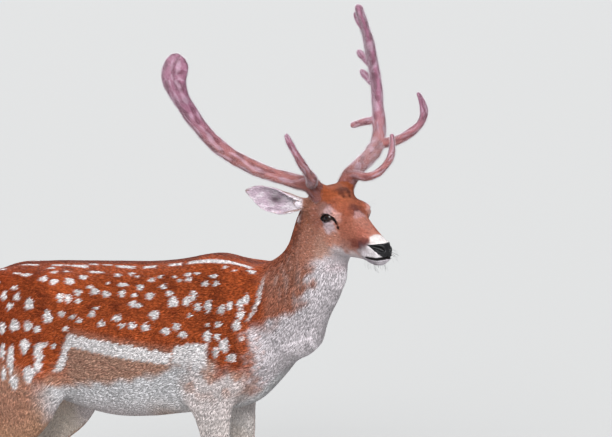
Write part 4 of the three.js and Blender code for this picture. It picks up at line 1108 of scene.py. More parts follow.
# %% Lines and bands
SPINE_STRIPE = [(-350, 34), (-214, 43), (-114, 36), (-20, 45), (66, 39), (181, 43), (240, 43), (300, 60)]  # x, aside
FLANK_LINE = [(-177, 680, 17), (-124, 673, 18), (-33, 662, 17), (47, 655, 16), (96, 648, 15), (108, 652, 15),
              (118, 660, 20), (145, 658, 32), (186, 658, 35)]                                # x, height, half width
FLANK_HOOK = [(-212, 596), (-206, 611), (-198, 632), (-190, 654), (-180, 676)]               # x, height
BAND_FOOT = [(-560, 590), (-360, 612), (-299, 572), (-237, 552), (-207, 553), (-131, 569), (-37, 584), (45, 600),
             (87, 616), (116, 631), (160, 640), (230, 600), (330, 640), (420, 700)]
NECK_BORDER = [(700, 52), (726, 48), (790, 42), (835, 49), (889, 64), (930, 80), (980, 84)]  # height, degrees
RUMP_EDGE = [(600, 34), (650, 44), (700, 56), (750, 62), (780, 60), (806, 48)]               # height, aside
CREASE = [(745, 308), (770, 320), (805, 337), (847, 342), (876, 346), (890, 352)]            # height, x
CHESTNUT, DARK, HAUNCH = paint_of(188, 90, 46), paint_of(108, 42, 24), paint_of(146, 60, 28)
WHITE, FAWN, BELLY = paint_of(250, 244, 244), paint_of(188, 146, 126), paint_of(222, 220, 222)
NAPE, NECK_SIDE, THROAT = paint_of(152, 84, 60), paint_of(174, 118, 98), paint_of(222, 214, 218)
THIGH = paint_of(200, 146, 122)
SHIN, SHIN_INNER, BLACK = paint_of(188, 144, 116), paint_of(220, 206, 194), paint_of(20, 16, 17)


def line_at(line, x):
    line = np.array(line, float)
    return [np.interp(x, line[:, 0], column) for column in line[:, 1:].T]


def band(off, half, soft):
    """1 inside a band of a half width, 0 outside, with a soft edge."""
    return 1 - ramp(np.abs(off), half - soft / 2, half + soft / 2)


def trunk_colour(place):
    x, z, aside = place.x, place.z, place.aside
    on_side = ramp(aside, 60, 90)
    streaks = waves(place.p * [0.35, 1, 1.2], 16, 10)
    colour = mix(CHESTNUT, DARK, (ramp(0.5 * waves(place.p, 60, 11) + 0.3, 0.2, 1.1) * 0.4
                                  + 0.3 * ramp(streaks, -0.2, 1)).clip(0, 1))
    colour = mix(colour, HAUNCH, ramp(-x, 180, 420) * ramp(z, 600, 700) * 0.8)
    colour = mix(colour, DARK, (1 - ramp(aside, 12, 34)) * ramp(z, 780, 830) * 0.7)           # ridge of the back
    hem = line_at(FLANK_LINE, x)[0]
    colour = mix(colour, FAWN, (1 - ramp(z, hem + 14, hem + 44)) * ramp(x, -200, -160) * (1 - ramp(x, 90, 160)) * 0.6)
    foot = line_at(BAND_FOOT, x)[0] + 5 * waves(place.p, 40, 13)
    fold = band(x + 215, 30, 36)
    thigh = 1 - ramp(z + 10 * waves(place.p, 50, 18), foot - 30 + 40 * fold, foot + 44 + 36 * fold)
    thigh = thigh * (1 - ramp(x, -204, -176))
    colour = mix(colour, mix(THIGH, FAWN, ramp(streaks, -0.2, 1) * 0.6), thigh)
    colour = mix(colour, WHITE, spotted(place) * ramp(z, 515, 540))
    stripe_aside, = line_at(SPINE_STRIPE, x)
    dash = np.maximum(ramp(np.sin(x / 15.0 + 1.7 * np.sin(x / 37.0)), -0.35, 0.05), ramp(x, 128, 142))
    gap = 1 - band(x - 112, 8, 8)
    stripe = band(aside - stripe_aside, 5.5, 4) * ramp(x, -365, -345) * (1 - ramp(x, 296, 312)) * ramp(z, 800, 830)
    colour = mix(colour, WHITE, stripe * dash * gap)

    middle, half = line_at(FLANK_LINE, x)
    ragged = 2.5 * waves(place.p, 22, 12)
    under = (1 - ramp(z, middle - 8, middle)) * ramp(x, -214, -176) * (1 - ramp(x, 205, 250))
    band_colour = mix(FAWN, paint_of(168, 122, 104), ramp(streaks, 0, 1) * 0.5)
    colour = mix(colour, band_colour, under)
    flank = band(z - middle + ragged, half, 7) * ramp(x, -190, -178) * (1 - ramp(x, 196, 214))
    colour = mix(colour, WHITE, flank * on_side * (1 - 0.75 * band(x - 107 + ragged, 4, 7)))
    hook_x = np.interp(z, [row[1] for row in FLANK_HOOK], [row[0] for row in FLANK_HOOK])
    hook = band(x - hook_x + ragged, 10, 6) * ramp(z, 590, 602) * (1 - ramp(z, 676, 694))
    colour = mix(colour, WHITE, hook * on_side)
    streak = band(x + 262 + ragged, 10, 6) * ramp(z, 588, 602) * (1 - ramp(z, 660, 674))
    curl = band(z - 664 - 0.3 * (x + 250) + ragged, 7, 5) * ramp(x, -272, -264) * (1 - ramp(x, -246, -236))
    colour = mix(colour, WHITE, np.maximum(streak, curl) * on_side)
    belly = (1 - ramp(z, foot - 16, foot + 12)) * ramp(x, -300, -215) * (1 - ramp(x, 250, 330))
    colour = mix(colour, BELLY, belly)
    low_shoulder = (1 - ramp(z + 8 * waves(place.p, 30, 19), 590, 650)) * ramp(x, 110, 150)
    stain = mix(paint_of(230, 218, 216), paint_of(206, 158, 138), ramp(waves(place.p, 45, 20), -0.1, 0.8) * ramp(z, 520, 620))
    colour = mix(colour, stain, low_shoulder * 0.9)
    crease_x = np.interp(z, [row[0] for row in CREASE], [row[1] for row in CREASE])
    # Painted shade: a dark band just ahead of the crease where the neck meets the shoulder, where no fold is modelled.
    colour = mix(colour, DARK, band(x - crease_x - 9, 6, 6) * ramp(z, 760, 780) * (1 - ramp(z, 880, 900)) * 0.5)
    crease = band(x - crease_x + 0.5 * ragged, 4.6, 5) * ramp(z, 752, 768) * (1 - ramp(z, 868, 884))
    colour = mix(colour, WHITE, crease * on_side * 0.9)
    torn = waves(place.p, 40, 16)
    colour = mix(colour, NECK_SIDE, ramp(x + 10 * torn, 276, 330) * (1 - ramp(z, 700, 760)) * 0.8)
    chest = ramp(x + 12 * torn + 8 * waves(place.p, 15, 21), 298, 354) * (1 - ramp(z, 715, 770))
    colour = mix(colour, NECK_SIDE, ramp(x, 338, 368) * ramp(z, 690, 740) * 0.8)
    colour = mix(colour, THROAT, np.maximum(chest, throat_share(place)))
    between = (1 - ramp(aside, 34, 60)) * (1 - ramp(z - 60 * ramp(-x, 330, 400), 600, 640))
    colour = mix(colour, BELLY, between)
    rear = ramp(-place.normal[:, 0], 0.1, 0.4)
    edge_aside = line_at(RUMP_EDGE, z)[0] + 0.7 * ragged
    patch = ramp(-x, 440, 470) * (1 - ramp(aside - edge_aside, -6, 2)) * (1 - ramp(z, 794, 810)) * rear
    rim = ramp(-x, 440, 466) * band(aside - edge_aside - 3, 7, 6) * (1 - ramp(z, 800, 816)) * ramp(z, 640, 680) * rear
    return mix(mix(colour, BLACK, rim), WHITE, patch)


def leg_colour(place):
    inner = ramp(-place.normal[:, 1] * place.side, -0.1, 0.5)
    front = ramp(place.normal[:, 0], 0.35, 0.8)
    colour = mix(mix(SHIN, SHIN_INNER, inner), paint_of(170, 122, 88), front * (1 - ramp(place.z, 250, 400)) * 0.6)
    fore_top = ramp(place.x, 60, 130) * ramp(place.z + 30 * waves(place.p, 70, 22), 300, 470)
    colour = mix(colour, paint_of(232, 226, 224), fore_top * 0.85)
    flank_fold = ramp(place.x + 8 * waves(place.p, 40, 23), -275, -215) * (1 - ramp(place.x, 0, 60)) * ramp(place.z, 380, 450)
    hock = ramp(-place.x, 250, 330) * ramp(place.z, 400, 480) * (1 - inner)
    colour = mix(colour, THIGH, hock * 0.8)
    colour = mix(colour, paint_of(216, 204, 206), flank_fold * 0.9)
    return mix(colour, paint_of(150, 118, 96), (1 - ramp(place.z, 30, 110)) * 0.4)


def throat_share(place):
    """The white front of the neck, wide at the jaw and the breast, narrower between."""
    border, = line_at(NECK_BORDER, place.z)
    front = 1 - ramp(np.abs(place.round_neck) + 6 * waves(place.p, 40, 14), border - 9, border + 13)
    return front * ramp(place.x, 326, 350) * ramp(place.z, 690, 720)


def neck_colour(place):
    turn_by = np.abs(place.round_neck)
    back = ramp(turn_by, 118, 158)
    front = throat_share(place)
    side = mix(NECK_SIDE, paint_of(132, 74, 56), ramp(waves(place.p * [1, 1, 0.3], 12, 24), 0, 1.1) * 0.5)
    colour = mix(mix(side, NAPE, back), THROAT, front)
    grizzle = ramp(waves(place.p * [1, 1, 0.4], 18, 15), -0.2, 1.2) * 0.3
    blush = (1 - ramp(np.abs(place.z - 925), 20, 50)) * front * (1 - ramp(turn_by, 30, 60))
    colour = mix(colour, paint_of(196, 160, 164), blush * 0.5)
    return mix(colour, paint_of(206, 186, 182), grizzle * (1 - back) * (1 - front))


# %% [markdown]
# ## Colours of the face
# The face is painted in soft dabs, as on a model maker's bench: each has a name, a place in the head's own
# axes, a reach in millimetres and a colour. Where dabs overlap, the nearer one counts more. Small dark parts
# come last: the rims of the lids, the scent gland, nostrils, lips and nose.

# %% Face
FACE_DABS = {  # place (forward, aside, up), reach, colour
    "forehead": ((12, 12, 52), 24, (194, 112, 78)), "forehead side": ((0, 40, 42), 18, (184, 106, 78)),
    "whorl": ((-16, 8, 62), 13, (70, 34, 32)), "crown": ((-52, 10, 66), 26, (164, 88, 56)),
    "crown side": ((-34, 30, 58), 16, (178, 94, 58)), "stop": ((30, 7, 38), 14, (84, 44, 48)),
    "stop side": ((24, 24, 34), 12, (176, 98, 72)), "pale streak": ((48, 2, 22), 9, (204, 156, 152)),
    "bridge": ((84, 6, 0), 24, (200, 136, 118)), "bridge side": ((84, 22, -16), 15, (190, 112, 92)),
    "side of the face": ((56, 34, -20), 20, (184, 114, 92)), "before the eye": ((38, 46, 6), 13, (176, 106, 84)),
    "over the duct": ((24, 56, 14), 9, (206, 158, 148)), "brow": ((-2, 62, 28), 11, (214, 180, 180)),
    "brow behind": ((-30, 62, 18), 13, (186, 142, 132)), "under the eye": ((0, 62, -18), 11, (220, 200, 206)),
    "cheek": ((4, 56, -48), 22, (196, 138, 118)), "temple": ((-40, 58, 4), 20, (172, 112, 94)),
    "jaw": ((-24, 50, -78), 20, (200, 156, 138)), "jaw corner": ((-60, 52, -70), 24, (178, 122, 102)),
    "under jaw": ((30, 10, -104), 30, (222, 212, 216)), "throat top": ((-6, 30, -118), 24, (220, 210, 214)),
    "jaw edge": ((14, 40, -86), 14, (228, 216, 218)), "jaw front": ((62, 28, -82), 13, (226, 212, 212)),
    # Painted shade: two dark dabs on the side of the muzzle below, 70 and 100 mm ahead of the eyes, stand for the shade
    # of a shallow groove that the flesh does not have.
    "lower cheek": ((54, 34, -62), 17, (178, 122, 106)), "painted groove shade": ((100, 31, -45), 12, (104, 52, 52)),
    "painted groove shade behind": ((70, 37, -46), 10, (140, 76, 64)), "top of muzzle": ((130, 6, -26), 9, (246, 240, 238)),
    "white band": ((108, 31, -58), 11, (230, 222, 226)), "beside the nostril": ((132, 30, -54), 9, (236, 230, 232)),
    "lip": ((142, 26, -64), 10, (230, 224, 226)), "chin": ((124, 12, -94), 16, (186, 176, 186)),
    "lower lip": ((150, 14, -80), 9, (222, 214, 220)), "behind the ear": ((-100, 60, 20), 22, (152, 104, 84)),
    "back of head": ((-116, 10, -10), 36, (156, 88, 58)),
}
EAR_OUTER, EAR_INNER, EAR_EDGE = paint_of(186, 158, 152), paint_of(206, 184, 198), paint_of(110, 86, 84)


def face_colour(place):
    total, weight = np.zeros((len(place.p), 3)), np.zeros(len(place.p))
    felt = place.m + 3.5 * np.column_stack([waves(place.m * [0.6, 1, 1], 15, seed) for seed in (31, 32, 33)])
    for spot, reach, colour in FACE_DABS.values():
        near = np.exp(-((felt - spot) ** 2).sum(1) / reach**2) / reach + 1e-9
        total += near[:, None] * paint_of(*colour)
        weight += near
    colour = total / weight[:, None]
    u, v, w = place.m.T
    s, t, d = eye_axes(place.m)
    mottle = ramp(waves(place.m * [0.5, 1, 1], 9, 25), 0.1, 1.2)
    colour = mix(colour, colour * 0.62, mottle * 0.5 * ramp(w, -70, -30) * (1 - ramp(u, 100, 116)))
    fleck = ramp(waves(place.m * [0.5, 1, 1], 8, 26), 0.4, 1.3)
    colour = mix(colour, paint_of(220, 190, 184), fleck * 0.22 * (1 - ramp(u, 0, 40)) * (1 - ramp(w, 10, 40)))
    rim = 1 - ramp(almond(s, t), 1.5, 3.3)
    colour = mix(colour, BLACK, rim * ramp(d, 0, 6))
    colour = mix(colour, BLACK, 1 - ramp(tear_duct(place.m), 1.2, 4.0))
    colour = mix(colour, BLACK, (1 - ramp(mouth(place.m), 1.6, 3.6)) * ramp(u, 100, 112))
    colour = mix(colour, BLACK, nose_leather(place.m))
    whisker_dots = (1 - ramp(np.abs(np.sin(u / 2.9 + w / 9) * np.sin(w / 3.1)), 0.05, 0.2)) * ramp(u, 104, 120)
    return mix(colour, paint_of(120, 100, 96), whisker_dots * (1 - ramp(u, 140, 150)) * ramp(-w, 46, 54) * 0.3)


def nose_leather(m):
    """The share of bare leather on the nose."""
    u, v, w = m.T
    top = np.interp(u, [119, 135, 150, 160], [-38.5, -34.5, -30.5, -29.5])
    bottom = np.interp(u, [119, 140, 152, 158, 166], [-39.5, -46, -52, -58, -64])
    edge = np.minimum(top - w, w - bottom)
    return ramp(edge, -0.6, 0.9) * (u > 118) * (v < 40)


def ear_colour(place):
    tip = ramp(place.ear_along, 60, 150)
    outer = mix(EAR_OUTER, EAR_EDGE, tip * 0.45)
    inner = mix(paint_of(244, 236, 242), EAR_INNER, ramp(place.ear_along, 24, 70) * 0.9)
    inner = mix(inner, paint_of(244, 238, 242), ramp(waves(place.m, 22, 17), 0.0, 0.8) * 0.5)
    blotch = np.exp(-((place.ear_along - 78) / 16) ** 2 - (((place.m - EAR_BASE) @ EAR_ACROSS - 4) / 11) ** 2)
    inner = mix(inner, paint_of(76, 50, 62), blotch * 0.9)
    return mix(outer, inner, place.ear_inner)


def tail_colour(place):
    top = ramp(-place.normal[:, 0], -0.2, 0.3)
    return mix(WHITE, BLACK, top * ramp(-place.aside, -22, -14))


def markings(p, normal):
    """The colour of the animal at each point, the same for skin and hair."""
    place = Place(p, normal)
    colour = trunk_colour(place)
    colour = mix(colour, leg_colour(place), place.leg * (1 - ramp(place.z, 480, 545) * 0.6))
    colour = mix(colour, neck_colour(place), place.neck)
    colour = mix(colour, face_colour(place), place.face)
    colour = mix(colour, ear_colour(place), place.ear)
    return mix(colour, tail_colour(place), place.tail)
# %% [markdown]
# ## The lie of the hair
# Hair grows backwards and down: from the nose over the forehead and down the neck, along the back to the
# tail, and straight down each leg. On the forehead it turns round a small whorl. The direction at a point is
# a blend of these currents, laid flat onto the skin.

# %% Direction and size of the hair
WHORL = np.array([-14.0, 0.0, 62.0])
NECK_DOWN = unit([-0.42, 0, -1.0])


def lie(place):
    """The direction in which the hair lies, along the skin."""
    x, z, aside = place.x, place.z, place.aside
    down = ramp(aside, 30, 150) * 0.55 + ramp(-x, 220, 420) * 0.8 + (1 - ramp(z, 480, 640)) * 1.4 * ((x > 120) | (x < -220))
    flow = np.column_stack([-np.ones(len(x)), 0.10 * waves(place.p, 90, 21), -down + 0.10 * waves(place.p, 70, 22)])
    flow = mix(flow, NECK_DOWN + 0.12 * waves(place.p, 60, 23)[:, None], np.maximum(place.neck, ramp(x, 330, 380)))
    flow = mix(flow, np.array([-0.08, 0, -1.0]), place.leg)
    flow = mix(flow, np.array([-0.05, 0, -1.0]), place.tail)
    back = -HEAD_TURN[:, 0]
    from_whorl = (place.h - WHORL) @ HEAD_TURN.T
    turning = np.exp(-((place.h - WHORL) ** 2).sum(1) / 26.0**2)
    drop = ramp(-place.h[:, 2], 10, 70)[:, None] * HEAD_TURN[:, 2] * -0.35
    face = back + drop + turning[:, None] * from_whorl / 14
    flow = mix(flow, face, place.face)
    ear = (EAR_AXIS * np.column_stack([np.ones(len(x)), np.sign(place.h[:, 1]), np.ones(len(x))])) @ HEAD_TURN.T
    flow = mix(flow, ear, place.ear)
    flow -= (flow * place.normal).sum(1)[:, None] * place.normal
    return unit_rows(flow)


def by_part(place, trunk, neck, leg, foot, face, muzzle, ear, inner_ear, tail):
    """A measure that changes from part to part of the body."""
    value = np.full(len(place.p), float(trunk))
    value += (leg - value) * place.leg
    value += (foot - value) * (1 - ramp(place.z, 60, 260))
    value += (neck - value) * place.neck
    value += (face - value) * place.face
    value += (muzzle - value) * place.face * ramp(place.h[:, 0], 80, 125)
    value += (ear - value) * place.ear
    value += (inner_ear - value) * place.ear_inner
    return value + (tail - value) * place.tail


# %% [markdown]
# ## Tufts
# A tuft is a few hairs that cling together: a flat kite, pointed at root and tip, widest before the middle, and
# closed underneath so that it is a real body of four faces. Hundreds of thousands are needed, so they are
# built as arrays. Roots are spread over the skin by area, tips are laid at the height of the coat above the
# nearest skin, and the middle is lifted over the round of the body.

# %% Sowing and growing
LENGTHS = dict(trunk=22, neck=26, leg=13, foot=9, face=7.5, muzzle=4.2, ear=9, inner_ear=15, tail=66)
WIDTHS = dict(trunk=2.3, neck=2.2, leg=2.2, foot=1.7, face=1.35, muzzle=0.9, ear=1.6, inner_ear=1.3, tail=3.2)
HEIGHTS = dict(trunk=1.5, neck=1.3, leg=1.1, foot=0.9, face=0.85, muzzle=0.7, ear=1.1, inner_ear=2.4, tail=6.5)
COVERS = dict(trunk=3.1, neck=3.3, leg=2.0, foot=1.8, face=1.9, muzzle=1.2, ear=1.8, inner_ear=1.2, tail=3.4)


def bare(place):
    """Where no hair grows: nose, lids, gland, lips, the cut above each hoof, and under the antlers."""
    s, t, d = eye_axes(place.m)
    lids = (almond(s, t) < 2.2) & (d > -2)
    wet = (tear_duct(place.m) < 0.8) | (mouth(place.m) < 1.2) | (nostril(place.m) < 1)
    cut = (place.z < 60) & (place.normal[:, 2] < -0.6)
    return lids | wet | cut | (nose_leather(place.m) > 0.3) | (place.face > 0) & under_antlers(place.h)


stem_fields = {side: limb(np.array(rows, float) * [1, side, 1, 1, 1], 1)
               for side, rows in ((-1, RIGHT_STEM), (1, LEFT_STEM))}


def under_antlers(h):
    return np.where(h[:, 1] < 0, stem_fields[-1](h), stem_fields[1](h)) < -1.5


def sow(points, triangles, normals, chosen, measure):
    """Root places and outward directions, spread over the chosen triangles by area."""
    corner = points[triangles[chosen]]
    area = np.linalg.norm(np.cross(corner[:, 1] - corner[:, 0], corner[:, 2] - corner[:, 0]), axis=1) / 2
    place = Place(corner.mean(1), unit_rows(normals[triangles[chosen]].mean(1)))
    share = np.cumsum(area * measure(place))
    count = int(share[-1])
    at = (np.arange(count) + rng.random(count)) * (share[-1] / count)
    which = np.minimum(np.searchsorted(share, at), len(chosen) - 1)
    a, b = np.sqrt(rng.random(count)), rng.random(count)
    weights = np.column_stack([1 - a, a * (1 - b), a * b])[..., None]
    picked = triangles[chosen[which]]
    return (points[picked] * weights).sum(1), unit_rows((normals[picked] * weights).sum(1))


def nearest_skin(tree, p):
    """The nearest point of the skin and its outward direction, for each point."""
    found = [tree.find_nearest(point)[:2] for point in p.tolist()]
    return np.array([f[0] for f in found]), np.array([f[1] for f in found])


def grow_tufts(tree, root, normal, flow, length, width, height):
    """Corners of closed kites [root, tip, left, right], and where each one shows."""
    count = len(root)
    length = length * rng.uniform(0.7, 1.2, count)
    width = width * rng.uniform(0.8, 1.2, count)
    height = height * rng.uniform(0.4, 1.25, count)
    side = np.cross(normal, flow)
    flow = unit_rows(flow + side * rng.normal(0, 0.12, count)[:, None])
    on_skin, out = nearest_skin(tree, root + flow * length[:, None])
    tip = on_skin + out * height[:, None]
    dip = np.clip(height - ((tip - root) * normal).sum(1), 0, 6)
    side = unit_rows(np.cross(normal, tip - root)) * width[:, None] / 2
    middle = root + (tip - root) * 0.42 + normal * (0.26 * dip + 0.15 + 0.08 * height)[:, None]
    tilt = normal * (width * rng.uniform(-0.12, 0.12, count))[:, None]
    corners = np.stack([root - normal * 0.3, tip, middle + side + tilt, middle - side - tilt], 1)
    return corners, root + (tip - root) * 0.62, out


KITE = np.array([[0, 3, 2], [1, 2, 3], [0, 2, 1], [0, 1, 3]])
KITE_SHADE = np.array([0.78, 1.14, 0.98, 0.98])             # painted shade at the root and painted light at the tip
PATCH = 0.0015                                             # half a tuft's patch on the bake map
KITE_PATCH = np.array([[0, -1], [0, 1], [-1, 0], [1, 0]]) * PATCH


def tuft_piece(name, corners, colour, chart, material):
    """One joined mesh of tufts with its colours and its bake map."""
    count = len(corners)
    triangles = ((np.arange(count) * 4)[:, None, None] + KITE).reshape(-1, 3)
    piece = mesh_object(name, placed(corners.reshape(-1, 3)), triangles)
    shade = KITE_SHADE[None, :, None] * rng.normal(1, 0.11, (count, 1, 1)).clip(0.6, 1.4)
    pale = ramp(colour.mean(1), 0.3, 0.75)[:, None, None]                  # pale hair gets less of this painted shade and light, and less random spread
    paint(piece, (colour[:, None] * (1 + (shade - 1) * (1 - 0.6 * pale))).clip(0, 1).reshape(-1, 3))
    patch = (chart[:, None] * (1 - 4 * PATCH) + 2 * PATCH + KITE_PATCH).reshape(-1, 2)
    layer = piece.data.uv_layers.new(name="OFBake")
    layer.data.foreach_set("uv", patch[triangles.ravel()].astype(np.float32).ravel())
    piece.data.materials.append(material)
    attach(piece, "root")
    print(name, count, "tufts,", len(triangles), "triangles")
    return piece


# %% [markdown]
# ## Unwrapping the coat
# Each piece of the coat is unwrapped like the pelt it covers: the trunk and neck by the distance along them and
# the angle round them, a leg by its height and the angle round it, an ear by its length and width. A tuft
# takes the spot of its root on that pelt.

# %% Charts
def fit(values):
    """Values spread over 0 to 1."""
    low, high = values.min(), values.max()
    return (values - low) / (high - low)


def trunk_chart(place):
    return np.column_stack([fit(place.x), np.arctan2(place.aside, place.z - CORE_HEIGHT) / np.pi])


def neck_chart(place):
    return np.column_stack([place.round_neck / 360 + 0.5, fit(place.z + 0.4 * place.x)])


def head_chart(place):
    return np.column_stack([fit(place.h[:, 0]), np.arctan2(place.h[:, 1], place.h[:, 2] + 30) / (2 * np.pi) + 0.5])


def ear_chart(place):
    across = (place.m - EAR_BASE) @ EAR_ACROSS
    column = (place.h[:, 1] > 0) * 0.5 + (place.ear_inner > 0.5) * 0.25
    return np.column_stack([column + fit(across) * 0.25, fit(place.ear_along)])


def leg_chart(place):
    column = (place.y > 0) * 0.25 + (place.x > -60) * 0.5
    middle = np.interp(place.z, [30, 110, 330, 560], [-25, -70, -68, 0]) + np.where(place.x > -60, 242, -330)
    angle = np.arctan2(place.aside - 88, place.x - middle - swing(1, FAR_FORE, place.z) * (place.y > 0))
    return np.column_stack([column + (angle / (2 * np.pi) + 0.5) * 0.25, fit(place.z)])


def tail_chart(place):
    return np.column_stack([np.arctan2(place.y, place.x + 552) / (2 * np.pi) + 0.5, fit(place.z)])


def coat_parts(place):
    """The piece of the coat that each place belongs to, by number in COAT."""
    part = np.where(place.x < -120, 0, np.where(place.x < 110, 2, 4)) + (place.y > 0)
    part = np.where(place.z < 470, 9, part)
    part = np.where((place.neck > 0.5) | (place.x > 372) & (place.z > 600), 6, part)
    part = np.where(place.face > 0.5, 7, part)
    part = np.where(place.ear > 0.3, 8, part)
    return np.where(place.tail > 0.3, 10, part)


COAT = [
    ("coat_haunch_right", trunk_chart), ("coat_haunch_left", trunk_chart), ("coat_flank_right", trunk_chart),
    ("coat_flank_left", trunk_chart), ("coat_shoulder_right", trunk_chart), ("coat_shoulder_left", trunk_chart),
    ("coat_neck", neck_chart), ("coat_face", head_chart), ("coat_ears", ear_chart), ("coat_legs", leg_chart),
    ("coat_tail", tail_chart),
]


def grow_coat(points, triangles, normals, material):
    tree = BVHTree.FromPolygons(points.tolist(), triangles.tolist())
    middle = Place(points[triangles].mean(1), unit_rows(normals[triangles].mean(1)))
    part = coat_parts(middle)
    pieces = []
    for number, (name, chart) in enumerate(COAT):
        chosen = np.nonzero(part == number)[0]
        cover = lambda place: by_part(place, **COVERS) / (0.5 * by_part(place, **LENGTHS) * by_part(place, **WIDTHS))
        root, normal = sow(points, triangles, normals, chosen, cover)
        kept = ~bare(Place(root, normal))
        root, normal = root[kept], normal[kept]
        place = Place(root, normal)
        size = [by_part(place, **measure) for measure in (LENGTHS, WIDTHS, HEIGHTS)]
        corners, seen, out = grow_tufts(tree, root, normal, lie(place), *size)
        pieces.append(tuft_piece(name, corners, markings(seen, out), chart(place), material))
    return pieces
# %% [markdown]
# ## Materials
# Each material reads the painted colour and adds what is too small to model: the grain of the coat, the
# pebbling of the nose, the fine rings of horn, the nap of velvet. Noise and bump work in object coordinates,
# so their scale is real on every piece.

# %% Materials
def plain_material(name, colour, roughness):
    material = bpy.data.materials.new(name)
    material.use_nodes = True
    shader = material.node_tree.nodes["Principled BSDF"]
    shader.inputs["Base Color"].default_value = (*colour, 1)
    shader.inputs["Roughness"].default_value = roughness
    return material


def shader_of(name, roughness, specular, sheen=0.0):
    material = bpy.data.materials.new(name)
    material.use_nodes = True
    nodes, links = material.node_tree.nodes, material.node_tree.links
    shader = nodes["Principled BSDF"]
    shader.inputs["Roughness"].default_value = roughness
    shader.inputs["Specular IOR Level"].default_value = specular
    shader.inputs["Sheen Weight"].default_value = sheen
    shader.inputs["Sheen Roughness"].default_value = 0.5
    return material, nodes, links, shader


def noise(nodes, links, scale, detail, stretch=(1, 1, 1)):
    """A noise in object coordinates, its scale in waves per metre."""
    where = nodes.new("ShaderNodeTexCoord")
    mapping = nodes.new("ShaderNodeMapping")
    mapping.inputs["Scale"].default_value = stretch
    texture = nodes.new("ShaderNodeTexNoise")
    texture.inputs["Scale"].default_value, texture.inputs["Detail"].default_value = scale, detail
    links.new(where.outputs["Object"], mapping.inputs["Vector"])
    links.new(mapping.outputs["Vector"], texture.inputs["Vector"])
    return texture.outputs["Fac"]


def painted_material(name, roughness, specular, grain, dark, light, bump_scale, bump_depth, sheen=0.0, coat=0.0):
    """The painted colour, made uneven by a grain between dark and light, with a bump of a given depth in mm."""
    material, nodes, links, shader = shader_of(name, roughness, specular, sheen)
    shader.inputs["Coat Weight"].default_value = coat
    shader.inputs["Coat Roughness"].default_value = 0.05
    colour = nodes.new("ShaderNodeAttribute")
    colour.attribute_name = "Colour"
    grade = nodes.new("ShaderNodeMapRange")
    grade.inputs["From Min"].default_value, grade.inputs["From Max"].default_value = 0.3, 0.7
    grade.inputs["To Min"].default_value, grade.inputs["To Max"].default_value = dark, light
    links.new(noise(nodes, links, grain, 3), grade.inputs["Value"])
    scaled = nodes.new("ShaderNodeVectorMath")
    scaled.operation = "SCALE"
    links.new(colour.outputs["Color"], scaled.inputs[0])
    links.new(grade.outputs["Result"], scaled.inputs["Scale"])
    links.new(scaled.outputs["Vector"], shader.inputs["Base Color"])
    if bump_depth:
        bump = nodes.new("ShaderNodeBump")
        bump.inputs["Distance"].default_value = bump_depth * MM
        links.new(noise(nodes, links, bump_scale, 4), bump.inputs["Height"])
        links.new(bump.outputs["Normal"], shader.inputs["Normal"])
    return material


skin_finish = painted_material("short_coat", 0.75, 0.15, 260, 0.86, 1.04, 900, 0.9)
hair_finish = painted_material("hair", 0.62, 0.12, 180, 0.88, 1.14, 0, 0)
leather_finish = painted_material("nose_leather", 0.42, 0.3, 500, 0.7, 1.3, 1100, 0.45)
eye_finish = painted_material("eye_gloss", 0.1, 0.24, 300, 0.9, 1.1, 0, 0)
horn_finish = painted_material("hoof_horn", 0.42, 0.45, 220, 0.7, 1.25, 500, 0.25)
velvet_finish = painted_material("velvet", 0.85, 0.1, 240, 0.84, 1.12, 1400, 0.8)
lash_finish = plain_material("bristle", paint_of(22, 17, 16), 0.4)
# %% [markdown]
# ## The skin, finished
# The skin with its ears now gets its markings and its finish. It stands for all the solids of flesh, since one
# unbroken skin is what a real animal has.

# %% Skin
skin_points, skin_triangles = grow_ears(*skin_mesh())
skin_normals = corner_normals(skin_points, skin_triangles)
FLESH_NODES = ["trunk", "neck", "head", "nose", "tail", "ear_right", "ear_left"] + [
    f"{part}_{side}" for part in ("shoulder", "forearm", "cannon_fore", "thigh", "gaskin", "cannon_hind")
    for side in ("right", "left")]
skin = shown("skin", placed(skin_points), skin_triangles, FLESH_NODES)
paint(skin, markings(skin_points, skin_normals))
skin.data.materials.append(skin_finish)

# %% [markdown]
# ## Nose leather
# The bare skin of the nose is a pad of its own: black, pebbled and always a little wet. It is lifted from the
# skin it grows on, as a thin closed shell that runs round both nostrils.

# %% Nose pad
def make_nose_pad(points, triangles, normals):
    h = to_head(points)
    near = np.nonzero((h[:, 0] > 112) & (np.abs(h[:, 1]) < 45))[0]
    share = np.zeros(len(points))
    share[near] = nose_leather(h[near] * np.column_stack([np.ones(len(near)), np.sign(h[near, 1]), np.ones(len(near))]))
    inside = triangles[(share[triangles] > 0.25).all(1)]
    used, local = np.unique(inside, return_inverse=True)
    local = local.reshape(-1, 3)
    swell = 0.15 + 0.75 * share[used][:, None]
    outer, inner = points[used] + normals[used] * swell, points[used] - normals[used] * 1.0
    sides = np.concatenate([local[:, [0, 1]], local[:, [1, 2]], local[:, [2, 0]]])
    code = sides[:, 0] * len(used) + sides[:, 1]
    twin = sides[:, 1] * len(used) + sides[:, 0]
    rim = sides[~np.isin(code, twin)]
    count = len(used)
    wall = np.concatenate([np.column_stack([rim[:, 1], rim[:, 0], rim[:, 0] + count]),
                           np.column_stack([rim[:, 1], rim[:, 0] + count, rim[:, 1] + count])])
    faces = np.concatenate([local, local[:, ::-1] + count, wall])
    pad = shown("nose_pad", placed(np.concatenate([outer, inner])), faces, [])
    paint(pad, paint_of(15, 14, 17))
    pad.data.materials.append(leather_finish)
    return pad


nose_pad = make_nose_pad(skin_points, skin_triangles, skin_normals)
print("nose pad:", len(nose_pad.data.polygons), "faces")

# %% Coat
coat = grow_coat(skin_points, skin_triangles, skin_normals, hair_finish)

# %% [markdown]
# ## Antlers, eyes and hooves, finished
# Velvet is paler along its nap than in its folds, so a fuzz of very short tufts stands on it and lights up its
# edges.

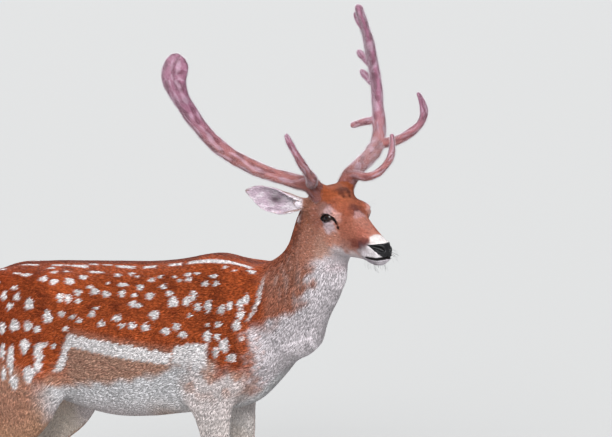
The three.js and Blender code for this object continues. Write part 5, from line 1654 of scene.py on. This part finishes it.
# %% Antlers
VELVET, VELVET_DARK, VELVET_PALE = paint_of(142, 96, 116), paint_of(70, 30, 40), paint_of(210, 184, 200)
VELVET_LOW = paint_of(150, 96, 92)
FUZZ, FUZZ_LOW = paint_of(246, 232, 240), paint_of(150, 100, 92)


def stem_chart(side, h, limbs):
    """The unwrap of an antler: one strip for each limb, by the place along it and the angle round it."""
    best, chart = np.full(len(h), np.inf), np.zeros((len(h), 2))
    for number, rows in enumerate(limbs):
        fine = finer(rows, 3) * [1, side, 1, 1, 1]
        for i in range(len(fine) - 1):
            run = fine[i + 1, :3] - fine[i, :3]
            off = h - fine[i, :3]
            t = np.clip(off @ run / (run @ run), 0, 1)
            radial = off - t[:, None] * run
            far = np.linalg.norm(radial, axis=1) / fine[i, 3]
            axis = unit(run)
            first = unit(np.cross(axis, [0.1, 0.2, 1]))
            angle = np.arctan2(radial @ np.cross(axis, first), radial @ first) / (2 * np.pi) + 0.5
            nearer = far < best
            best[nearer] = far[nearer]
            chart[nearer] = np.column_stack([(number + angle) / len(limbs), (i + t) / (len(fine) - 1)])[nearer]
    return chart


def make_antler(word, side):
    limbs = ANTLERS[word]
    points, triangles = antler_mesh("antler_" + word, side, limbs)
    points = knobbed(points, triangles)
    normals = corner_normals(points, triangles)
    antler = shown("antler_" + word, placed(points), triangles, ANTLER_NODES[word])
    h = to_head(points)
    low = 1 - ramp(np.linalg.norm(h - [-68, 52 * side, 62], axis=1), 20, 90)
    round_by = stem_chart(side, h, limbs)[:, 0] * len(limbs) * 2 * np.pi
    veins = ramp(np.sin(round_by * 4 + 1.5 * waves(points, 60, 7)) + 0.8 * waves(points, 30, 6), -0.2, 1)
    streaks = ramp(np.sin(round_by * 6 + 2.2 * waves(points, 80, 9)) + 0.8 * waves(points, 40, 8), 0.1, 1.3)
    colour = mix(VELVET_LOW, VELVET, ramp(h[:, 2], 110, 260))
    colour = mix(mix(colour, VELVET_DARK, veins * 0.52), VELVET_PALE, streaks * 0.34)
    paint(antler, mix(colour, paint_of(110, 62, 50), low * 0.6))
    antler.data.materials.append(velvet_finish)
    tree = BVHTree.FromPolygons(points.tolist(), triangles.tolist())
    root, normal = sow(points, triangles, normals, np.arange(len(triangles)), lambda place: 0.2 + 0 * place.x)
    outward = unit_rows(root - from_head([-70, 50 * side, 60])[0])
    flow = unit_rows(outward - (outward * normal).sum(1)[:, None] * normal + rng.normal(0, 0.25, root.shape))
    count = np.ones(len(root))
    corners, seen, _ = grow_tufts(tree, root, normal, flow, 1.8 * count, 0.34 * count, 4.2 * count)
    near = 1 - ramp(np.linalg.norm(to_head(seen) - [-68, 52 * side, 62], axis=1), 20, 90)
    fuzz = mix(FUZZ, FUZZ_LOW, near * 0.7)
    tuft_piece("fuzz_" + word, corners, fuzz, stem_chart(side, to_head(root), limbs), velvet_finish)
    print(antler.name, len(triangles), "triangles")


for word, side in (("right", -1), ("left", 1)):
    make_antler(word, side)

# %% Eyes and hooves
for word, side in (("right", -1), ("left", 1)):
    make_eye(word, side).data.materials.append(eye_finish)
for name, foot in zip(FOOT_NAMES, FEET):
    horn = make_foot_horn(name, foot)
    level = mesh_arrays(horn.data)[0][:, 2]
    paint(horn, mix(paint_of(52, 44, 40), paint_of(92, 78, 68), ramp(level, 2, 20) * (0.5 + 0.5 * np.sin(level * 1.1))))
    horn.data.materials.append(horn_finish)
# %% [markdown]
# ## Lashes and whiskers
# Lashes shade the eye, and whiskers feel what the muzzle is about to touch. They are single stiff hairs, so
# one bent, tapering bristle is drawn once and set on every root by Geometry Nodes. The roots are points that
# carry the direction and the length of their hair.

# %% One bristle, many times
def bristle_tree():
    """Geometry Nodes that stand a bent, tapering bristle on each point of a mesh."""
    tree = bpy.data.node_groups.new("bristles", "GeometryNodeTree")
    face = tree.interface
    face.new_socket("Roots", in_out="INPUT", socket_type="NodeSocketGeometry")
    for name, value in (("Thickness", 0.0003), ("Bend", 0.2), ("Unevenness", 0.25)):
        face.new_socket(name, in_out="INPUT", socket_type="NodeSocketFloat").default_value = value
    face.new_socket("Seed", in_out="INPUT", socket_type="NodeSocketInt").default_value = 5
    face.new_socket("Finish", in_out="INPUT", socket_type="NodeSocketMaterial")
    face.new_socket("Bristles", in_out="OUTPUT", socket_type="NodeSocketGeometry")
    new, link = tree.nodes.new, tree.links.new
    given, result = new("NodeGroupInput"), new("NodeGroupOutput")

    # The bristle itself: one unit long, bent towards +X, tapering to its tip.
    line = new("GeometryNodeCurveQuadraticBezier")
    line.inputs["Resolution"].default_value = 5
    line.inputs["Start"].default_value = (0, 0, 0)
    line.inputs["Middle"].default_value = (0, 0, 0.5)
    end = new("ShaderNodeCombineXYZ")
    end.inputs["Z"].default_value = 1.0
    link(given.outputs["Bend"], end.inputs["X"])
    link(end.outputs["Vector"], line.inputs["End"])
    along, taper, thin = new("GeometryNodeSplineParameter"), new("ShaderNodeMapRange"), new("GeometryNodeSetCurveRadius")
    taper.inputs["To Min"].default_value, taper.inputs["To Max"].default_value = 1.0, 0.15
    link(along.outputs["Factor"], taper.inputs["Value"])
    link(line.outputs["Curve"], thin.inputs["Curve"])
    link(taper.outputs["Result"], thin.inputs["Radius"])
    ring, tube = new("GeometryNodeCurvePrimitiveCircle"), new("GeometryNodeCurveToMesh")
    ring.inputs["Resolution"].default_value = 5
    link(given.outputs["Thickness"], ring.inputs["Radius"])
    link(thin.outputs["Curve"], tube.inputs["Curve"])
    link(ring.outputs["Curve"], tube.inputs["Profile Curve"])
    tube.inputs["Fill Caps"].default_value = True

    # Each root says where its hair points and how long it is.
    aim, size = new("GeometryNodeInputNamedAttribute"), new("GeometryNodeInputNamedAttribute")
    aim.data_type, size.data_type = "FLOAT_VECTOR", "FLOAT"
    aim.inputs["Name"].default_value, size.inputs["Name"].default_value = "aim", "size"
    turn_to = new("FunctionNodeAlignRotationToVector")
    turn_to.axis = "Z"
    link(aim.outputs["Attribute"], turn_to.inputs["Vector"])
    uneven, least, most = new("FunctionNodeRandomValue"), new("ShaderNodeMath"), new("ShaderNodeMath")
    least.operation, most.operation = "SUBTRACT", "ADD"
    least.inputs[0].default_value = most.inputs[0].default_value = 1.0
    link(given.outputs["Unevenness"], least.inputs[1])
    link(given.outputs["Unevenness"], most.inputs[1])
    link(least.outputs["Value"], uneven.inputs[2])
    link(most.outputs["Value"], uneven.inputs[3])
    link(given.outputs["Seed"], uneven.inputs["Seed"])
    length, scale = new("ShaderNodeMath"), new("ShaderNodeCombineXYZ")
    length.operation = "MULTIPLY"
    link(size.outputs["Attribute"], length.inputs[0])
    link(uneven.outputs[1], length.inputs[1])
    scale.inputs["Y"].default_value = 1.0
    link(length.outputs["Value"], scale.inputs["X"])
    link(length.outputs["Value"], scale.inputs["Z"])
    points, stand = new("GeometryNodeMeshToPoints"), new("GeometryNodeInstanceOnPoints")
    real, coloured = new("GeometryNodeRealizeInstances"), new("GeometryNodeSetMaterial")
    link(given.outputs["Roots"], points.inputs["Mesh"])
    link(points.outputs["Points"], stand.inputs["Points"])
    link(tube.outputs["Mesh"], stand.inputs["Instance"])
    link(turn_to.outputs["Rotation"], stand.inputs["Rotation"])
    link(scale.outputs["Vector"], stand.inputs["Scale"])
    link(stand.outputs["Instances"], real.inputs["Geometry"])
    link(real.outputs["Geometry"], coloured.inputs["Geometry"])
    link(given.outputs["Finish"], coloured.inputs["Material"])
    link(coloured.outputs["Geometry"], result.inputs["Bristles"])
    return tree


BRISTLES = bristle_tree()


def make_bristles(name, roots, aims, sizes, thickness, bend, seed):
    """Bristles on roots (mm of the drawing), pointing along aims, with sizes in mm."""
    piece = mesh_object(name, placed(roots), np.zeros((0, 3), int))
    for key, kind, field, values in (("aim", "FLOAT_VECTOR", "vector", aims), ("size", "FLOAT", "value", sizes * MM)):
        layer = piece.data.attributes.new(key, kind, "POINT")
        layer.data.foreach_set(field, np.asarray(values, np.float32).ravel())
    grow = piece.modifiers.new("bristles", "NODES")
    grow.node_group = BRISTLES
    given = {item.name: item.identifier for item in BRISTLES.interface.items_tree if item.in_out == "INPUT"}
    grow[given["Thickness"]], grow[given["Bend"]], grow[given["Seed"]] = thickness, bend, seed
    grow[given["Finish"]] = lash_finish
    made = bpy.data.meshes.new_from_object(piece.evaluated_get(bpy.context.evaluated_depsgraph_get()))
    piece.modifiers.clear()
    piece.data = made
    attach(piece, "root")
    print(name, len(roots), "bristles,", len(made.polygons), "faces")
    return piece


# %% Where lashes and whiskers stand
def lash_roots(side, t_edge, count, lean, length):
    """Roots along one lid, in head axes, with their directions and lengths."""
    s = np.linspace(-0.82, 0.72, count) * SLIT_HALF
    high = t_edge * (1 - np.abs(s / SLIT_HALF) ** 1.9)
    ball = EYE_RADIUS + LID
    d = np.sqrt(np.maximum(ball**2 - s * s - high * high, 9))
    m = EYE_PLACE + s[:, None] * SLIT + high[:, None] * SLIT_UP + d[:, None] * EYE_OUT
    aim = unit_rows(EYE_OUT + lean * SLIT_UP + (s / SLIT_HALF * 0.5)[:, None] * SLIT)
    flip = [1, side, 1]
    return from_head(m * flip), (aim * flip) @ HEAD_TURN.T, length * (1 - 0.35 * np.abs(s / SLIT_HALF))


skin_tree = BVHTree.FromPolygons(skin_points.tolist(), skin_triangles.tolist())


def muzzle_roots(side, low, high, count, droop, length, seed):
    """Roots scattered over a patch of the muzzle, set on the skin."""
    draw = np.random.default_rng(seed)
    wanted = from_head(draw.uniform(low, high, (count, 3)) * [1, side, 1])
    root, out = nearest_skin(skin_tree, wanted)
    aim = unit_rows(out + 0.5 * HEAD_TURN[:, 0] + [0, 0, -droop] + draw.normal(0, 0.12, out.shape))
    return root, aim, np.full(count, float(length))


def stacked(groups):
    return [np.concatenate(column) for column in zip(*groups)]


for word, side in (("right", -1), ("left", 1)):
    lashes = stacked([lash_roots(side, UPPER_LID + 0.6, 46, 0.35, 11), lash_roots(side, -LOWER_LID - 0.6, 20, -0.8, 5)])
    make_bristles("lashes_" + word, *lashes, 0.00022, 0.25, 3)
    whiskers = stacked([
        muzzle_roots(side, [112, 26, -68], [150, 34, -50], 26, 0.2, 24, 41),
        muzzle_roots(side, [100, 10, -96], [150, 24, -84], 22, 0.7, 20, 42),
        muzzle_roots(side, [-8, 60, 24], [12, 68, 30], 4, -0.3, 26, 43),
        muzzle_roots(side, [-8, 58, -26], [10, 66, -18], 4, 0.4, 24, 44),
    ])
    make_bristles("whiskers_" + word, *whiskers, 0.00022, 0.3, 4)
# %% [markdown]
# ## Floor, light and camera
# The floor is plain and pale, and wide enough to fill the view. The light is soft: a broad, high one in front,
# a weaker one behind that lifts the back and the rims of the antlers, and a pale sky. The camera looks
# slightly down on the animal's right side from well ahead of its shoulder, with a long lens.

# %% Floor
FLOOR_HALF = 60.0
floor = mesh_object("floor", [[-FLOOR_HALF, -FLOOR_HALF, 0], [FLOOR_HALF, -FLOOR_HALF, 0],
                              [FLOOR_HALF, FLOOR_HALF, 0], [-FLOOR_HALF, FLOOR_HALF, 0]], [[0, 1, 2, 3]])
floor.data.materials.append(plain_material("floor_paint", paint_of(180, 180, 178), 0.9))


# %% Light
def soft_sun(name, towards, strength, spread):
    """A broad, distant panel: the same light everywhere on the floor, with soft shadows."""
    light = bpy.data.lights.new(name, "SUN")
    light.energy, light.angle = strength, math.radians(spread)
    lamp = bpy.data.objects.new(name, light)
    bpy.context.scene.collection.objects.link(lamp)
    lamp.rotation_euler = (-Vector(towards)).to_track_quat("-Z", "Y").to_euler()
    return lamp


soft_sun("key_light", (0.18, -0.84, 0.52), 4.5, 30)
soft_sun("back_light", (-0.30, 0.66, 0.68), 2.1, 30)
sky = bpy.data.worlds.new("sky")
bpy.context.scene.world = sky
sky.use_nodes = True
sky.node_tree.nodes["Background"].inputs["Color"].default_value = (0.86, 0.9, 1.0, 1)
sky.node_tree.nodes["Background"].inputs["Strength"].default_value = 0.42

# %% Camera
AIM = np.array([431.5, 0, 1013.5])                       # drawing: what the middle of the picture shows
EYE_POINT = np.array([3479.8, -8374.9, 2266.1])          # drawing: where the camera stands
FOCAL, SENSOR = 206.47, 36.0
camera_data = bpy.data.cameras.new("camera")
camera_data.lens, camera_data.sensor_width, camera_data.clip_end = FOCAL, SENSOR, 300
camera = bpy.data.objects.new("camera", camera_data)
bpy.context.scene.collection.objects.link(camera)
camera.location = placed(EYE_POINT)
camera.rotation_euler = Vector(placed(AIM) - placed(EYE_POINT)).to_track_quat("-Z", "Y").to_euler()
bpy.context.scene.camera = camera
bpy.context.scene.view_settings.view_transform = "Standard"
